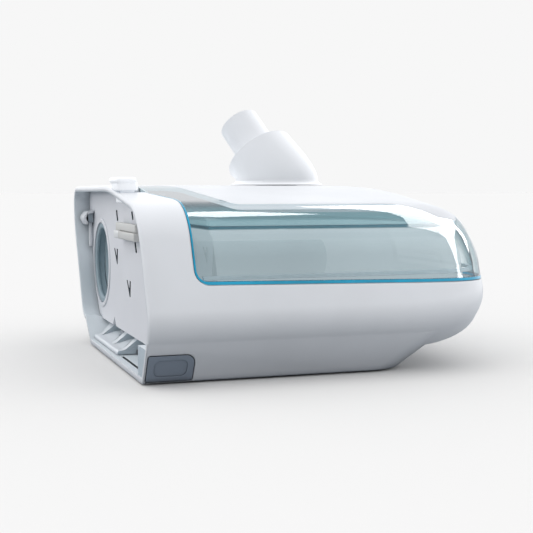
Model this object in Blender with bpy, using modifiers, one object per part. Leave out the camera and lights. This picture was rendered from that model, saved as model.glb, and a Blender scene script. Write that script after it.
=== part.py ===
"""Docking heated humidifier module of a bedside breathing machine.

The module is modelled as an assembly of separate parts. X runs from its open
docking end to its rounded end, Y from front to back, Z up from the ground.
Lengths are written in millimetres and MM turns them into metres. Shapes are
laid out from the front corner of the docking end; the empty "module_frame"
then puts the origin under the middle of the module.
"""

import math

import bmesh
import bpy
from mathutils import Vector

MM = 0.001

# Driving dimensions, in millimetres.
LENGTH = 175.0
WALL = 2.4
GAP = 0.3
MIDDLE_Y = 84.0
MIDDLE_Z = 46.0
FRAME_SHIFT = (-88.488, -84.085)

# Cross-section of the casing as corners (y, z, corner radius), front foot first.
SECTION = [
    (-4, 11, 2),
    (-16, 24, 14),
    (7, 75.2, 28),
    (75, 84.6, 150),
    (182, 84.3, 9),
    (179.5, 62, 40),
    (152, 11, 14),
]
SECTION_STEP = 20.0
SECTION_RUN = 28.0
END_ANGLES = (0, 20, 38, 54, 67, 77, 84, 88, 89.8)
END_START_FRONT = 104.0
END_START_TOP = 106.0
END_START_BOTTOM = 130.0
END_POWER_Y = 3.8
END_POWER_TOP = 3.2
END_POWER_BOTTOM = 2.15
END_BULGE = 3.0
END_BULGE_Z = 50.0
END_BULGE_SPREAD = 9.0

# Foot: the plinth under the casing, straight-sided and wider towards its top.
FOOT_BOTTOM = 0.6
FOOT_TOP = 19.0
FOOT_RISE = 12.0
FOOT_LENGTH = (124.0, 138.0)
FOOT_FRONT = (0.0, -7.0)
FOOT_BACK = (126.0, 145.0)
FOOT_BACK_SHARE = 1.33
FOOT_RADIUS = 18.0

LEDGE = 0.4

# Docking end.
DOCK_FLOOR = 3.0
PANEL_X = 8.8
PANEL_BOTTOM = 12.6
BAY_START = 27.0
RAMP_START = 66.0
RAMP_RIBS = [(66.2, 72.0), (90.0, 97.0), (125.0, 170.0)]
LINK_X = 14.0
PORT_Y = 139.5
PORT_Z = 43.0
PORT_RADIUS = 21.8

# Lid.
LID_LEFT = 21.8
LID_BOTTOM = 42.5
LID_SLOPE = 0.0145
LID_REAR_Z = 70.0
HINGE_Y = 178.6
HINGE_Z = 70.0
KNUCKLE_RADIUS = 3.0
PIN_RADIUS = 1.3
HINGE_STOPS = (22.4, 40.0, 62.0, 84.0, 106.0, 123.6)
LID_TONGUE = [
    (60, 10, 0),
    (LID_LEFT, 10, 0),
    (LID_LEFT, 28, 14),
    (13.8, 48, 14),
    (13.8, 96, 14),
    (LID_LEFT, 118, 14),
    (LID_LEFT, 130, 0),
    (60, 130, 0),
]
TOP_PANEL = [
    (28, 215, 4),
    (28, 110, 10),
    (18, 98, 10),
    (18, 77.5, 4),
    (32.5, 74, 9),
    (44.8, 16.9, 6),
    (124, 16.9, 20),
    (144, 10, 10),
    (156, 14, 10),
    (172, 50, 30),
    (168, 140, 34),
    (150, 215, 10),
]

# Outlet elbow.
ELBOW = (102.7, 120.0)
ELBOW_BASE_Z = 84.95
TUBE_START = Vector((99.5, 120.0, 92.0))
TUBE_DIRECTION = Vector((-0.313, 0.599, 0.738)).normalized()
TUBE_LENGTH = 37.0
TUBE_RADIUS = 11.4
TUBE_WALL = 1.8

# Tank and heater.
TANK_LEFT = 30.0
TANK_INSET = 7.0
TANK_WALL = 2.2
TANK_BOTTOM = 25.0
TANK_SPLIT = 64.8
PLATE_CENTRE = (86.0, 84.0)
PLATE_TOP = 24.1
CRADLE_LEFT = 24.0
CRADLE_TOP = 20.0

PAD_SPOTS = [(40, 17), (108, 19), (40, 108), (104, 104)]
SCREW_SPOTS = [(56, 14), (90, 14), (56, 109), (88, 109)]
SPRING_ANGLES = (90, 210, 330)
CONTACT_SPOTS = (37, 52.5, 68)

COLLECTION = bpy.data.collections.new("humidifier_module")
FAR = 400.0


def clear_scene():
    for obj in list(bpy.data.objects):
        bpy.data.objects.remove(obj, do_unlink=True)


# ---------------------------------------------------------------- outlines


def rounded(corners, step=15.0):
    """Closed outline of corners (a, b, radius), each rounded by an arc."""
    points = []
    for index, (a, b, radius) in enumerate(corners):
        here = Vector((a, b))
        if radius <= 0:
            points.append(here)
            continue
        after = corners[(index + 1) % len(corners)]
        back = (Vector(corners[index - 1][:2]) - here).normalized()
        ahead = (Vector(after[:2]) - here).normalized()
        half = back.angle(ahead) / 2
        centre = here + (back + ahead).normalized() * radius / math.sin(half)
        start = here + back * radius / math.tan(half) - centre
        turn = start.angle_signed(here + ahead * radius / math.tan(half) - centre)
        count = max(1, round(math.degrees(abs(turn)) / step))
        for k in range(count + 1):
            angle = -turn * k / count
            cosine, sine = math.cos(angle), math.sin(angle)
            points.append(
                centre + Vector((start.x * cosine - start.y * sine, start.x * sine + start.y * cosine))
            )
    return points


def inset(corners, distance):
    """The same outline with every side moved inwards by distance."""
    count = len(corners)
    area = sum(
        corners[i - 1][0] * corners[i][1] - corners[i][0] * corners[i - 1][1] for i in range(count)
    )
    inward = 1 if area > 0 else -1
    moved = []
    for index, (a, b, radius) in enumerate(corners):
        here = Vector((a, b))
        before = (here - Vector(corners[index - 1][:2])).normalized()
        after = (Vector(corners[(index + 1) % count][:2]) - here).normalized()
        normal = Vector((-before.y, before.x)) * inward
        next_normal = Vector((-after.y, after.x)) * inward
        shift = (normal + next_normal) / (1 + normal.dot(next_normal))
        convex = (before.x * after.y - before.y * after.x) * inward > 0
        new_radius = radius - distance if convex else radius + distance
        moved.append((*(here + shift * distance), max(new_radius, 0.5) if radius > 0 else 0))
    return moved


def divided(points, longest):
    """The same closed outline with no side longer than longest."""
    spread = []
    for start, end in zip(points, points[1:] + points[:1]):
        count = math.ceil((end - start).length / longest)
        spread += [start.lerp(end, k / count) for k in range(count)]
    return spread


def rectangle(a0, b0, a1, b1, radius=0.0):
    return [(a0, b0, radius), (a1, b0, radius), (a1, b1, radius), (a0, b1, radius)]


# ---------------------------------------------------------------- solids


def add_object(name, mesh):
    obj = bpy.data.objects.new(name, mesh)
    COLLECTION.objects.link(obj)
    return obj


def from_bmesh(name, bm):
    bmesh.ops.recalc_face_normals(bm, faces=bm.faces)
    mesh = bpy.data.meshes.new(name)
    bm.to_mesh(mesh)
    bm.free()
    return add_object(name, mesh)


def bake(obj):
    """Replace obj's mesh by the result of its modifiers."""
    graph = bpy.context.evaluated_depsgraph_get()
    mesh = bpy.data.meshes.new_from_object(obj.evaluated_get(graph))
    obj.modifiers.clear()
    obj.data = mesh
    return obj


def boolean(target, tool, operation):
    """Apply one exact Boolean and drop the tool."""
    modifier = target.modifiers.new(operation.lower(), "BOOLEAN")
    modifier.operation = operation
    modifier.solver = "EXACT"
    modifier.object = tool
    bake(target)
    bpy.data.objects.remove(tool, do_unlink=True)
    return target


def cut(target, *tools):
    for tool in tools:
        boolean(target, tool, "DIFFERENCE")
    return target


def join(target, *tools):
    for tool in tools:
        boolean(target, tool, "UNION")
    return target


def common(target, *tools):
    for tool in tools:
        boolean(target, tool, "INTERSECT")
    return target


def box(name, low, high, bevel=0.0):
    """Box between two corners, its edges rounded by bevel."""
    low, high = Vector(low), Vector(high)
    bm = bmesh.new()
    bmesh.ops.create_cube(bm, size=1.0)
    for vertex in bm.verts:
        for axis in range(3):
            share = vertex.co[axis] + 0.5
            vertex.co[axis] = (low[axis] + (high[axis] - low[axis]) * share) * MM
    obj = from_bmesh(name, bm)
    if bevel:
        modifier = obj.modifiers.new("rounded_edges", "BEVEL")
        modifier.width = bevel * MM
        modifier.segments = 2
        bake(obj)
    return obj


def rod(name, start, end, radius, sides=28):
    """Round rod between two points."""
    start, end = Vector(start) * MM, Vector(end) * MM
    bm = bmesh.new()
    bmesh.ops.create_cone(
        bm,
        cap_ends=True,
        segments=sides,
        radius1=radius * MM,
        radius2=radius * MM,
        depth=(end - start).length,
    )
    turn = Vector((0, 0, 1)).rotation_difference(end - start)
    for vertex in bm.verts:
        vertex.co = turn @ vertex.co + (start + end) / 2
    return from_bmesh(name, bm)


def plate(name, corners, low, high, axis="Z"):
    """Flat outline drawn as a filled curve and extruded from low to high along axis."""
    curve = bpy.data.curves.new(name, "CURVE")
    curve.dimensions = "2D"
    curve.fill_mode = "BOTH"
    curve.extrude = (high - low) / 2 * MM
    points = rounded(corners)
    spline = curve.splines.new("POLY")
    spline.points.add(len(points) - 1)
    spline.use_cyclic_u = True
    for target, point in zip(spline.points, points):
        target.co = (point.x * MM, point.y * MM, 0, 1)
    obj = mesh_from_curve(name, curve)
    middle = (low + high) / 2 * MM
    for vertex in obj.data.vertices:
        a, b, c = vertex.co
        c += middle
        vertex.co = {"X": (c, a, b), "Y": (a, c, b), "Z": (a, b, c)}[axis]
    return tidy(obj)


def mesh_from_curve(name, curve):
    """Turn curve data into a mesh object with welded caps."""
    guide = bpy.data.objects.new(name + "_guide", curve)
    COLLECTION.objects.link(guide)
    graph = bpy.context.evaluated_depsgraph_get()
    mesh = bpy.data.meshes.new_from_object(guide.evaluated_get(graph))
    bpy.data.objects.remove(guide, do_unlink=True)
    obj = add_object(name, mesh)
    bm = bmesh.new()
    bm.from_mesh(mesh)
    bmesh.ops.remove_doubles(bm, verts=bm.verts, dist=1e-6)
    bm.to_mesh(mesh)
    bm.free()
    return obj


def tidy(obj):
    """Point all faces of obj outwards."""
    bm = bmesh.new()
    bm.from_mesh(obj.data)
    bmesh.ops.recalc_face_normals(bm, faces=bm.faces)
    bm.to_mesh(obj.data)
    bm.free()
    return obj


def wire(name, points, radius, resolution=2):
    """Round wire or pipe along points, with filled ends."""
    curve = bpy.data.curves.new(name, "CURVE")
    curve.dimensions = "3D"
    curve.bevel_depth = radius * MM
    curve.bevel_resolution = resolution
    curve.use_fill_caps = True
    spline = curve.splines.new("POLY")
    spline.points.add(len(points) - 1)
    for target, point in zip(spline.points, points):
        target.co = (*(Vector(point) * MM), 1)
    return tidy(mesh_from_curve(name, curve))


def coil(name, start, end, radius, wire_radius, turns):
    """Coil spring around the line from start to end."""
    start, end = Vector(start), Vector(end)
    axis = (end - start).normalized()
    side = axis.orthogonal().normalized()
    other = axis.cross(side)
    steps = round(turns * 8)
    points = []
    for k in range(steps + 1):
        angle = 2 * math.pi * turns * k / steps
        spoke = side * math.cos(angle) + other * math.sin(angle)
        points.append(start.lerp(end, k / steps) + spoke * radius)
    return wire(name, points, wire_radius, 1)


def turned(name, profile, centre, axis="Z", steps=28):
    """Profile (radius, height) turned around an axis through centre.

    A profile that starts on the axis also ends there and isn't closed along it.
    """
    bm = bmesh.new()
    loop = [bm.verts.new((radius * MM, 0, height * MM)) for radius, height in profile]
    open_on_axis = profile[0][0] == 0
    for start, end in zip(loop, loop[1:] if open_on_axis else loop[1:] + loop[:1]):
        bm.edges.new((start, end))
    mesh = bpy.data.meshes.new(name)
    bm.to_mesh(mesh)
    bm.free()
    obj = add_object(name, mesh)
    screw = obj.modifiers.new("turn", "SCREW")
    screw.steps = steps
    screw.render_steps = steps
    screw.use_merge_vertices = True
    screw.merge_threshold = 1e-6
    bake(obj)
    for vertex in obj.data.vertices:
        a, b, c = vertex.co
        spot = Vector((c, a, b)) if axis == "X" else Vector((a, b, c))
        vertex.co = spot + Vector(centre) * MM
    return tidy(obj)


def ring(name, centre, inner, outer, low, high, axis="Z", steps=28):
    profile = [(outer, high), (outer, low), (inner, low), (inner, high)]
    return turned(name, profile, centre, axis, steps)


def loft(name, rings):
    """Closed solid through rings with the same number of points."""
    bm = bmesh.new()
    layers = [[bm.verts.new(Vector(point) * MM) for point in points] for points in rings]
    count = len(rings[0])
    for lower, upper in zip(layers, layers[1:]):
        for k in range(count):
            after = (k + 1) % count
            bm.faces.new((lower[k], lower[after], upper[after], upper[k]))
    bm.faces.new(layers[0])
    bm.faces.new(layers[-1])
    bmesh.ops.triangulate(bm, faces=[f for f in bm.faces if len(f.verts) > 4])
    return from_bmesh(name, bm)


# ---------------------------------------------------------------- casing form


def end_point(y, z, reach, depth):
    """Point of the rounded end: the section point (y, z) drawn in as reach grows."""
    side = (y - MIDDLE_Y) / 97.0
    upper = z > MIDDLE_Z
    height = (z - MIDDLE_Z) / (38.5 if upper else 35.0)
    share = height**2 / (height**2 + side**2)
    start = END_START_TOP if upper else END_START_BOTTOM
    start = END_START_FRONT * (1 - share) + start * share
    power = END_POWER_TOP if upper else END_POWER_BOTTOM
    shrink_y = (1 - reach**END_POWER_Y) ** (1 / END_POWER_Y)
    shrink_z = (1 - reach**power) ** (1 / power)
    new_z = MIDDLE_Z + (z - MIDDLE_Z) * shrink_z
    bulge = END_BULGE * reach**2 * math.exp(-(((new_z - END_BULGE_Z) / END_BULGE_SPREAD) ** 2))
    x = start + (LENGTH - depth - start) * reach + bulge
    return (x, MIDDLE_Y + (y - MIDDLE_Y) * shrink_y, new_z)


def pebble(name, depth, start=-3.0):
    """Body of the casing, with its surface moved inwards by depth."""
    section = divided(rounded(inset(SECTION, depth), SECTION_STEP), SECTION_RUN)
    rings = [[(start, y, z) for y, z in section]]
    for angle in END_ANGLES:
        reach = math.sin(math.radians(angle)) ** (2 / END_POWER_Y)
        rings.append([end_point(y, z, reach, depth) for y, z in section])
    return loft(name, rings)


def foot_outline(height, depth):
    share = height / FOOT_RISE
    low, high = FOOT_LENGTH
    front = FOOT_FRONT[0] + (FOOT_FRONT[1] - FOOT_FRONT[0]) * share
    back = FOOT_BACK[0] + (FOOT_BACK[1] - FOOT_BACK[0]) * min(share, FOOT_BACK_SHARE)
    right = low + (high - low) * share
    corners = [
        (-3, front + depth, 0),
        (right - depth, front + depth, FOOT_RADIUS - depth),
        (right - depth, back - depth, FOOT_RADIUS - depth),
        (-3, back - depth, 0),
    ]
    return [(a, b, height) for a, b in rounded(corners)]


def foot(name, depth, low, high):
    """Plinth between two heights, with its sides moved inwards by depth."""
    return loft(name, [foot_outline(low, depth), foot_outline(high, depth)])


def casing_form(name, depth, floor, start=0.0):
    """Body and foot in one, cut flat at x = start."""
    form = join(pebble(name, depth), foot("foot_form", depth, floor, FOOT_TOP))
    return cut(form, box("end_cut", (-FAR, -FAR, -FAR), (start, FAR, FAR)))


def slab(name, x0=-FAR, x1=FAR, y0=-FAR, y1=FAR, z0=-FAR, z1=FAR):
    """Big box used to keep one region."""
    return box(name, (x0, y0, z0), (x1, y1, z1))


def lid_region(name, grow=0.0):
    """Space of the lid: above its parting line, right of its left edge, and its latch tongue."""
    fall = LID_SLOPE * (FAR - LID_LEFT)
    side = [(LID_LEFT, LID_BOTTOM, 6), (FAR, LID_BOTTOM - fall, 0), (FAR, FAR, 0), (LID_LEFT, FAR, 0)]
    end = [
        (-FAR, LID_BOTTOM - 6, 0),
        (113.2, LID_BOTTOM - 6, 10),
        (140, LID_REAR_Z, 10),
        (FAR, LID_REAR_Z, 0),
        (FAR, FAR, 0),
        (-FAR, FAR, 0),
    ]
    region = plate(name, inset(side, -grow), -FAR, FAR, "Y")
    common(region, plate("end_region", inset(end, -grow), -FAR, FAR, "X"))
    return join(region, plate("tongue", inset(LID_TONGUE, -grow), 73 - grow, 120))


def knuckles(name, first):
    """Every second hinge knuckle, starting with number first, as a list of parts."""
    parts = []
    for index in range(first, len(HINGE_STOPS) - 1, 2):
        low = HINGE_STOPS[index] + GAP / 2
        high = HINGE_STOPS[index + 1] - GAP / 2
        barrel = rod(name, (low, HINGE_Y, HINGE_Z), (high, HINGE_Y, HINGE_Z), KNUCKLE_RADIUS, 18)
        parts.append((barrel, low, high))
    return parts


def hinge_bore():
    radius = PIN_RADIUS + GAP + 0.1
    return rod("hinge_bore", (21.6, HINGE_Y, HINGE_Z), (125, HINGE_Y, HINGE_Z), radius, 16)


def hinge_relief():
    radius = KNUCKLE_RADIUS + 0.5
    return rod("relief", (21.2, HINGE_Y, HINGE_Z), (130, HINGE_Y, HINGE_Z), radius, 24)


# ---------------------------------------------------------------- casing parts


def button_corners(grow=0.0):
    return inset([(1.2, 1.4, 0.8), (21.4, 1.4, 0.8), (21.4, 13.2, 5), (1.2, 13.2, 0.8)], -grow)


def make_outer_casing():
    casing = casing_form("outer_casing", 0, FOOT_BOTTOM)
    cut(casing, casing_form("cavity", WALL, DOCK_FLOOR, -5))
    underside = foot("underside", WALL + LEDGE, -2, 5)
    cut(casing, common(underside, slab("bay", x0=BAY_START)))
    cut(casing, box("floor_groove", (3.4, 16, 2.0), (4.8, 62, 8)))
    housing = casing_form("housing", 0.4, FOOT_BOTTOM + 0.2)
    join(casing, common(housing, box("housing_box", (0.4, -30, 0), (24, 9.8, 15.8))))
    cut(casing, plate("button_pocket", button_corners(0.4), -30, 7.4, "Y"))
    cut(casing, box("link_slot", (LINK_X - 2.2, 7, 3.2), (LINK_X + 2.2, 11, 5.6)))
    cut(casing, lid_region("lid_opening", GAP), hinge_relief())
    for barrel, low, high in knuckles("casing_knuckle", 0):
        web = box("web", (low, 176.4, 62), (high, 179.4, 69.5))
        join(casing, join(barrel, web))
    cut(casing, hinge_bore())
    cut(casing, box("latch_slot", (1.6, 50.6, 70), (14.0, 65.4, 95)))
    return casing


def make_base_plate():
    base = foot("base_plate", WALL + LEDGE + GAP, 1.2, 4.2)
    common(base, slab("bay", x0=BAY_START + GAP))
    for x, y in PAD_SPOTS:
        cut(base, rod("pad_recess", (x, y, 0), (x, y, 2.6), 6.4, 20))
    for x, y in SCREW_SPOTS:
        cut(base, rod("head_recess", (x, y, 0), (x, y, 3.2), 3.4, 14))
        cut(base, rod("shank_hole", (x, y, 0), (x, y, 9), 1.8, 14))
    return base


def make_foot_pads():
    pads = []
    for number, (x, y) in enumerate(PAD_SPOTS, 1):
        profile = [(0, 2.3), (6.0, 2.3), (6.0, 0.6), (5.4, 0), (0, 0)]
        pads.append(turned(f"foot_pad_{number}", profile, (x, y, 0), "Z", 20))
    return pads


def make_base_screws():
    screws = []
    for number, (x, y) in enumerate(SCREW_SPOTS, 1):
        profile = [(0, 10.2), (0.9, 10.2), (1.4, 9.4), (1.4, 2.9)]
        profile += [(3.0, 2.9), (3.0, 1.9), (2.5, 1.4), (0, 1.4)]
        screw = turned(f"base_screw_{number}", profile, (x, y, 0), "Z", 14)
        cut(screw, rod("socket", (x, y, 1), (x, y, 2.3), 1.2, 6))
        screws.append(screw)
    return screws


def make_dock_panel():
    panel = casing_form("dock_panel", WALL + GAP, DOCK_FLOOR + GAP)
    centre = (PORT_Y, PORT_Z)
    blank = box("blank", (PANEL_X, -FAR, PANEL_BOTTOM), (PANEL_X + WALL, FAR, FAR))
    rim = rod("port_rim", (PANEL_X - 0.6, *centre), (PANEL_X + 0.6, *centre), PORT_RADIUS + 2.2, 40)
    common(panel, join(blank, rim))
    cut(panel, rod("port", (0, *centre), (30, *centre), PORT_RADIUS, 40))
    cut(panel, box("harness_hole", (5, 52, 59), (20, 58, 64)))
    cut(panel, box("latch_notch", (5, 51.4, 74.9), (20, 66, 95)))
    cut(panel, box("housing_notch", (5, -30, 5), (20, 10.1, 16.1)))
    for y, low, high in ((96.2, 66.7, 72.2), (59.0, 68.2, 72.2), (51.9, 53, 58)):
        corners = [(y - 3.1, low, 0), (y + 0.3, low, 0), (y + 3.1, high, 0), (y - 0.3, high, 0)]
        cut(panel, plate("slot", corners, 5, 20, "X"))
    for low, high, top in ((95.0, 104.8, 52.6), (63.9, 73.7, 38.7)):
        cut(panel, clip_slot(low, high, top))
    shelf = box("spring_shelf", (PANEL_X + 1, 58.5, 72.4), (21.2, 64.5, 74.4))
    return join(panel, shelf, box("spring_rib", (18.9, 58.6, 74.0), (21.1, 64.4, 79.2)))


def clip_slot(low, high, top):
    """V-shaped slot around a snap finger of the panel."""
    corners = [
        (low, top, 0),
        (low + 1.0, top - 7.8, 0),
        (low + 2.8, top - 7.8, 0),
        (high, top, 0),
        (high - 2.6, top, 0),
        (low + 3.6, top - 4.0, 0),
        (low + 2.6, top, 0),
    ]
    return plate("clip_slot", corners, 5, 20, "X")


def make_dock_hook():
    shelf = plate("dock_hook", rectangle(3.2, 161, 8.4, 175.4, 2.5), 65.4, 69.2)
    cut(shelf, plate("shelf_hollow", rectangle(4.4, 162.2, 14, 174.2, 1.6), 66.8, 80))
    return join(shelf, box("stalk", (6.6, 166.4, 50.5), (8.3, 168.8, 66)))


def ramp_corners(height, inner=2.4):
    """Side view of the ramp: a rolled nose and a top that rises by height in an S."""
    top = []
    for k in range(8):
        share = k / 7
        rise = share * share * (3 - 2 * share)
        top.append((4.6 + 11.0 * share, 5.2 + height * rise, 0))
    return [(inner, 3.0, 0.5), (25.5, 3.0, 0), (25.5, 5.2 + height, 0)] + top[::-1] + [(inner, 5.2, 1.2)]


def make_dock_ramp():
    ramp = plate("dock_ramp", ramp_corners(2.2), RAMP_START, 170, "Y")
    for low, high in RAMP_RIBS:
        join(ramp, plate("rib", ramp_corners(6.4, 2.6), low, high, "Y"))
    common(ramp, casing_form("ramp_limit", WALL + GAP, DOCK_FLOOR + GAP))
    cut(ramp, box("link_channel", (LINK_X - 2.2, 20, 0), (LINK_X + 2.2, 112, 5.4)))
    return cut(ramp, box("tooth_slot", (LINK_X - 2.2, 99.6, 0), (LINK_X + 2.2, 111, 20)))


def make_inlet_seal():
    profile = [(21.5, 0), (21.5, 5), (19.6, 5), (19.6, 2.4), (18.6, 1.6), (18.6, 0.6), (19.4, 0)]
    return turned("inlet_seal", profile, (PANEL_X, PORT_Y, PORT_Z), "X")


def make_inlet_duct():
    profile = [(20.6, 0), (20.6, 12.6), (10.5, 12.6), (10.5, 15.3)]
    profile += [(9.0, 15.3), (9.0, 11), (18.8, 11), (18.8, 0)]
    return turned("inlet_duct", profile, (PANEL_X + 5.4, PORT_Y, PORT_Z), "X")


def make_dock_connector():
    back = PANEL_X - GAP
    block = box("dock_connector", (4.0, 34, 59.0), (back, 81, 62.8), 0.5)
    join(block, box("upper_tier", (4.8, 35, 62.4), (back - 0.1, 80, 66.6), 0.5))
    for y in CONTACT_SPOTS:
        cut(block, box("contact_slot", (4.9, y, 56), (7.3, y + 6, 61.4)))
    return block


def make_connector_contacts():
    return [
        box(f"connector_contact_{number}", (5.4, y + 0.6, 59.4), (6.8, y + 5.4, 61.0))
        for number, y in enumerate(CONTACT_SPOTS, 1)
    ]


def make_wire_harness():
    points = [(12.0, 55, 61.5), (15.4, 55, 60.8), (18.0, 55, 57), (18.8, 56, 30), (19.4, 60, 17)]
    points += [(21.0, 60, 10.4), (25, 60, 8.6), (31, 60, 8.4)]
    return wire("wire_harness", points, 1.6, 2)


def make_circuit_board():
    board = plate("circuit_board", rectangle(32, 24, 112, 98, 3), 6.4, 8.0)
    blocks = [((38, 32), (52, 46), 12.6), ((60, 30), (78, 40), 11.5), ((84, 60), (102, 74), 12.4)]
    for low, high, top in blocks:
        join(board, box("component", (*low, 7.5), (*high, top), 0.4))
    return board


def make_tank_cradle():
    cradle = pebble("tank_cradle", WALL + GAP)
    common(cradle, slab("cradle_part", x0=CRADLE_LEFT, z1=CRADLE_TOP))
    hollow = pebble("cradle_hollow", WALL + GAP + 2.2)
    cut(cradle, common(hollow, slab("above_floor", x0=CRADLE_LEFT + 2.2, z0=16)))
    for x, y in SCREW_SPOTS:
        join(cradle, rod("boss", (x, y, 4.5), (x, y, 14.5), 3.4, 16))
        cut(cradle, rod("boss_bore", (x, y, 3), (x, y, 11), 1.8, 14))
    return cradle


# ---------------------------------------------------------------- heater


def make_heater_parts():
    x, y = PLATE_CENTRE
    corners = rectangle(x - 41, y - 41, x + 41, y + 41, 16)
    top = plate("heater_plate", corners, 21.6, PLATE_TOP)
    element = ring("heater_element", (x, y, 0), 9, 27, 19.9, 21.3)
    insulator = ring("heater_insulator", (x, y, 0), 5, 26, 16.3, 17.7)
    sensor = rod("temperature_sensor", (x, y, 18.2), (x, y, 21.3), 2.6, 24)
    springs = []
    for number, angle in enumerate(SPRING_ANGLES, 1):
        sx = x + 34 * math.cos(math.radians(angle))
        sy = y + 34 * math.sin(math.radians(angle))
        springs.append(coil(f"heater_spring_{number}", (sx, sy, 16.9), (sx, sy, 20.8), 3.2, 0.5, 2.5))
    return [top, element, insulator, sensor, *springs]


# ---------------------------------------------------------------- buttons and latch


def make_release_button():
    button = casing_form("release_button", 0, FOOT_BOTTOM)
    common(button, plate("button_form", button_corners(), -30, 4.0, "Y"))
    cut(button, box("button_hollow", (3.4, 0.4, 3.6), (19.2, 9, 11.0)))
    return button


def make_dock_latch():
    link = box("dock_latch", (LINK_X - 1.8, 4.3, 3.4), (LINK_X + 1.8, 107, 5.0), 0.3)
    corners = [(100, 4, 0), (106.6, 4, 0), (106.6, 11, 1), (104, 11, 1), (100, 8.0, 0)]
    return join(link, plate("tooth", corners, LINK_X - 1.7, LINK_X + 1.7, "X"))


def make_lid_latch():
    nub = box("lid_latch", (-1.0, 48.8, 79), (10.0, 66.4, 88.2), 2.0)
    cut(nub, pebble("hood_skin", -GAP, -6))
    stem = box("stem", (2.2, 55.2, 76.4), (9.2, 64.8, 85.5))
    bar = box("bar", (2.4, 52.2, 76.5), (28.5, 55.6, 78.3))
    hook = box("hook", (26.6, 52.4, 76.6), (28.6, 64.0, 78.2))
    join(nub, stem, bar, hook)
    return nub


def make_small_springs():
    button = coil("button_spring", (7.6, 1.2, 7.3), (7.6, 6.6, 7.3), 2.6, 0.4, 4)
    latch = coil("latch_spring", (9.9, 61.5, 77.9), (18.4, 61.5, 77.9), 1.2, 0.25, 5)
    return [button, latch]


# ---------------------------------------------------------------- lid


def lid_shell(name):
    shell = pebble(name, 0)
    cut(shell, pebble("lid_inside", WALL, -6))
    return common(shell, lid_region("lid_space"))


def make_lid_window():
    window = lid_shell("lid_window")
    cut(window, plate("top_opening", inset(TOP_PANEL, -GAP), 50, 120), hinge_relief())
    keeper = pebble("keeper", 1)
    common(keeper, box("keeper_box", (22.6, 57.2, 75.9), (25.9, 64.4, 90)))
    return join(window, keeper)


def make_lid_top():
    top = common(lid_shell("lid_top"), plate("top_outline", TOP_PANEL, 50, 120))
    cut(top, hinge_relief())
    for barrel, low, high in knuckles("lid_knuckle", 1):
        web = box("web", (low, 176.6, 70.5), (high, 180.4, 77))
        join(top, join(barrel, web))
    cut(top, hinge_bore())
    cut(top, rod("outlet_hole", (*ELBOW, 70), (*ELBOW, 95), 14, 40))
    return top


def make_lid_liner():
    liner = pebble("lid_liner", WALL + GAP)
    cut(liner, pebble("liner_inside", WALL + GAP + 1.6, -6))
    corners = [(42, 70, 6), (50, 19, 8), (134, 19, 30), (158, 70, 30), (152, 168, 20), (42, 168, 6)]
    common(liner, plate("liner_outline", corners, 60, 120))
    return cut(liner, rod("liner_hole", (*ELBOW, 70), (*ELBOW, 95), 18, 40))


def make_lid_gasket():
    gasket = pebble("lid_gasket", WALL + GAP)
    cut(gasket, pebble("gasket_inside", WALL + GAP + 1.3, -6))
    return common(gasket, slab("gasket_band", x0=26, y1=112, z0=44.0, z1=45.6))


def make_outlet_seal():
    return ring("outlet_seal", (*ELBOW, 0), 13.2, 17.4, 77.9, 81.0)


def make_hinge_pin():
    low, high = HINGE_STOPS[0] + 0.6, HINGE_STOPS[-1] - 0.6
    return rod("hinge_pin", (low, HINGE_Y, HINGE_Z), (high, HINGE_Y, HINGE_Z), PIN_RADIUS, 16)


# ---------------------------------------------------------------- outlet elbow


def tube_path(extra=0.0):
    """Centre line of the outlet: straight up, then bent onto the tube direction."""
    start = Vector((*ELBOW, 79.5 - extra))
    lower = Vector((*ELBOW, 81.0))
    upper = TUBE_START + TUBE_DIRECTION * 12
    finish = TUBE_START + TUBE_DIRECTION * (TUBE_LENGTH + extra)
    rise, run = Vector((0, 0, 27)), TUBE_DIRECTION * 27
    return [start] + [hermite(lower, rise, upper, run, k / 8) for k in range(9)] + [finish]


def elbow_rings(count=28, levels=7):
    """Rings from the round base to the slanted mouth, blended along smooth curves."""
    up = Vector((0, 0, 1))
    side = TUBE_DIRECTION.cross(up).normalized()
    crown = side.cross(TUBE_DIRECTION)
    mouth = TUBE_START + TUBE_DIRECTION * 13
    rings = []
    for level in range(levels):
        share = level / (levels - 1)
        points = []
        for k in range(count):
            angle = 2 * math.pi * k / count
            cosine, sine = math.cos(angle), math.sin(angle)
            flat = Vector((side.x, side.y, 0)) * cosine + up.cross(side) * sine
            base = Vector((*ELBOW, 87.2)) + flat * 22.6
            top = mouth + (side * cosine - crown * sine) * 19.4
            rise = (top - base).length * 0.9
            points.append(hermite(base, up * rise, top, TUBE_DIRECTION * rise * 0.55, share))
        rings.append(points)
    return rings


def hermite(start, start_slope, end, end_slope, share):
    square, cube = share**2, share**3
    return (
        start * (2 * cube - 3 * square + 1)
        + start_slope * (cube - 2 * square + share)
        + end * (3 * square - 2 * cube)
        + end_slope * (cube - square)
    )


def make_outlet_elbow():
    rings = elbow_rings()
    centre = Vector((*ELBOW, 0))
    flare = []
    for radius, height in ((25.6, ELBOW_BASE_Z), (25.4, 85.7), (23.6, 86.4)):
        layer = []
        for point in rings[0]:
            flat = Vector((point.x, point.y, 0)) - centre
            layer.append(centre + flat.normalized() * radius + Vector((0, 0, height)))
        flare.append(layer)
    elbow = loft("outlet_elbow", flare + rings)
    cut(elbow, wire("elbow_bore", tube_path(12), TUBE_RADIUS + GAP, 4))
    groove = ring("seal_groove", (*ELBOW, 0), 17.6, 20.6, 80, 86.4)
    return cut(elbow, groove)


def make_outlet_tube():
    tube = wire("outlet_tube", tube_path(), TUBE_RADIUS, 4)
    return cut(tube, wire("tube_bore", tube_path(12), TUBE_RADIUS - TUBE_WALL, 4))


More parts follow.
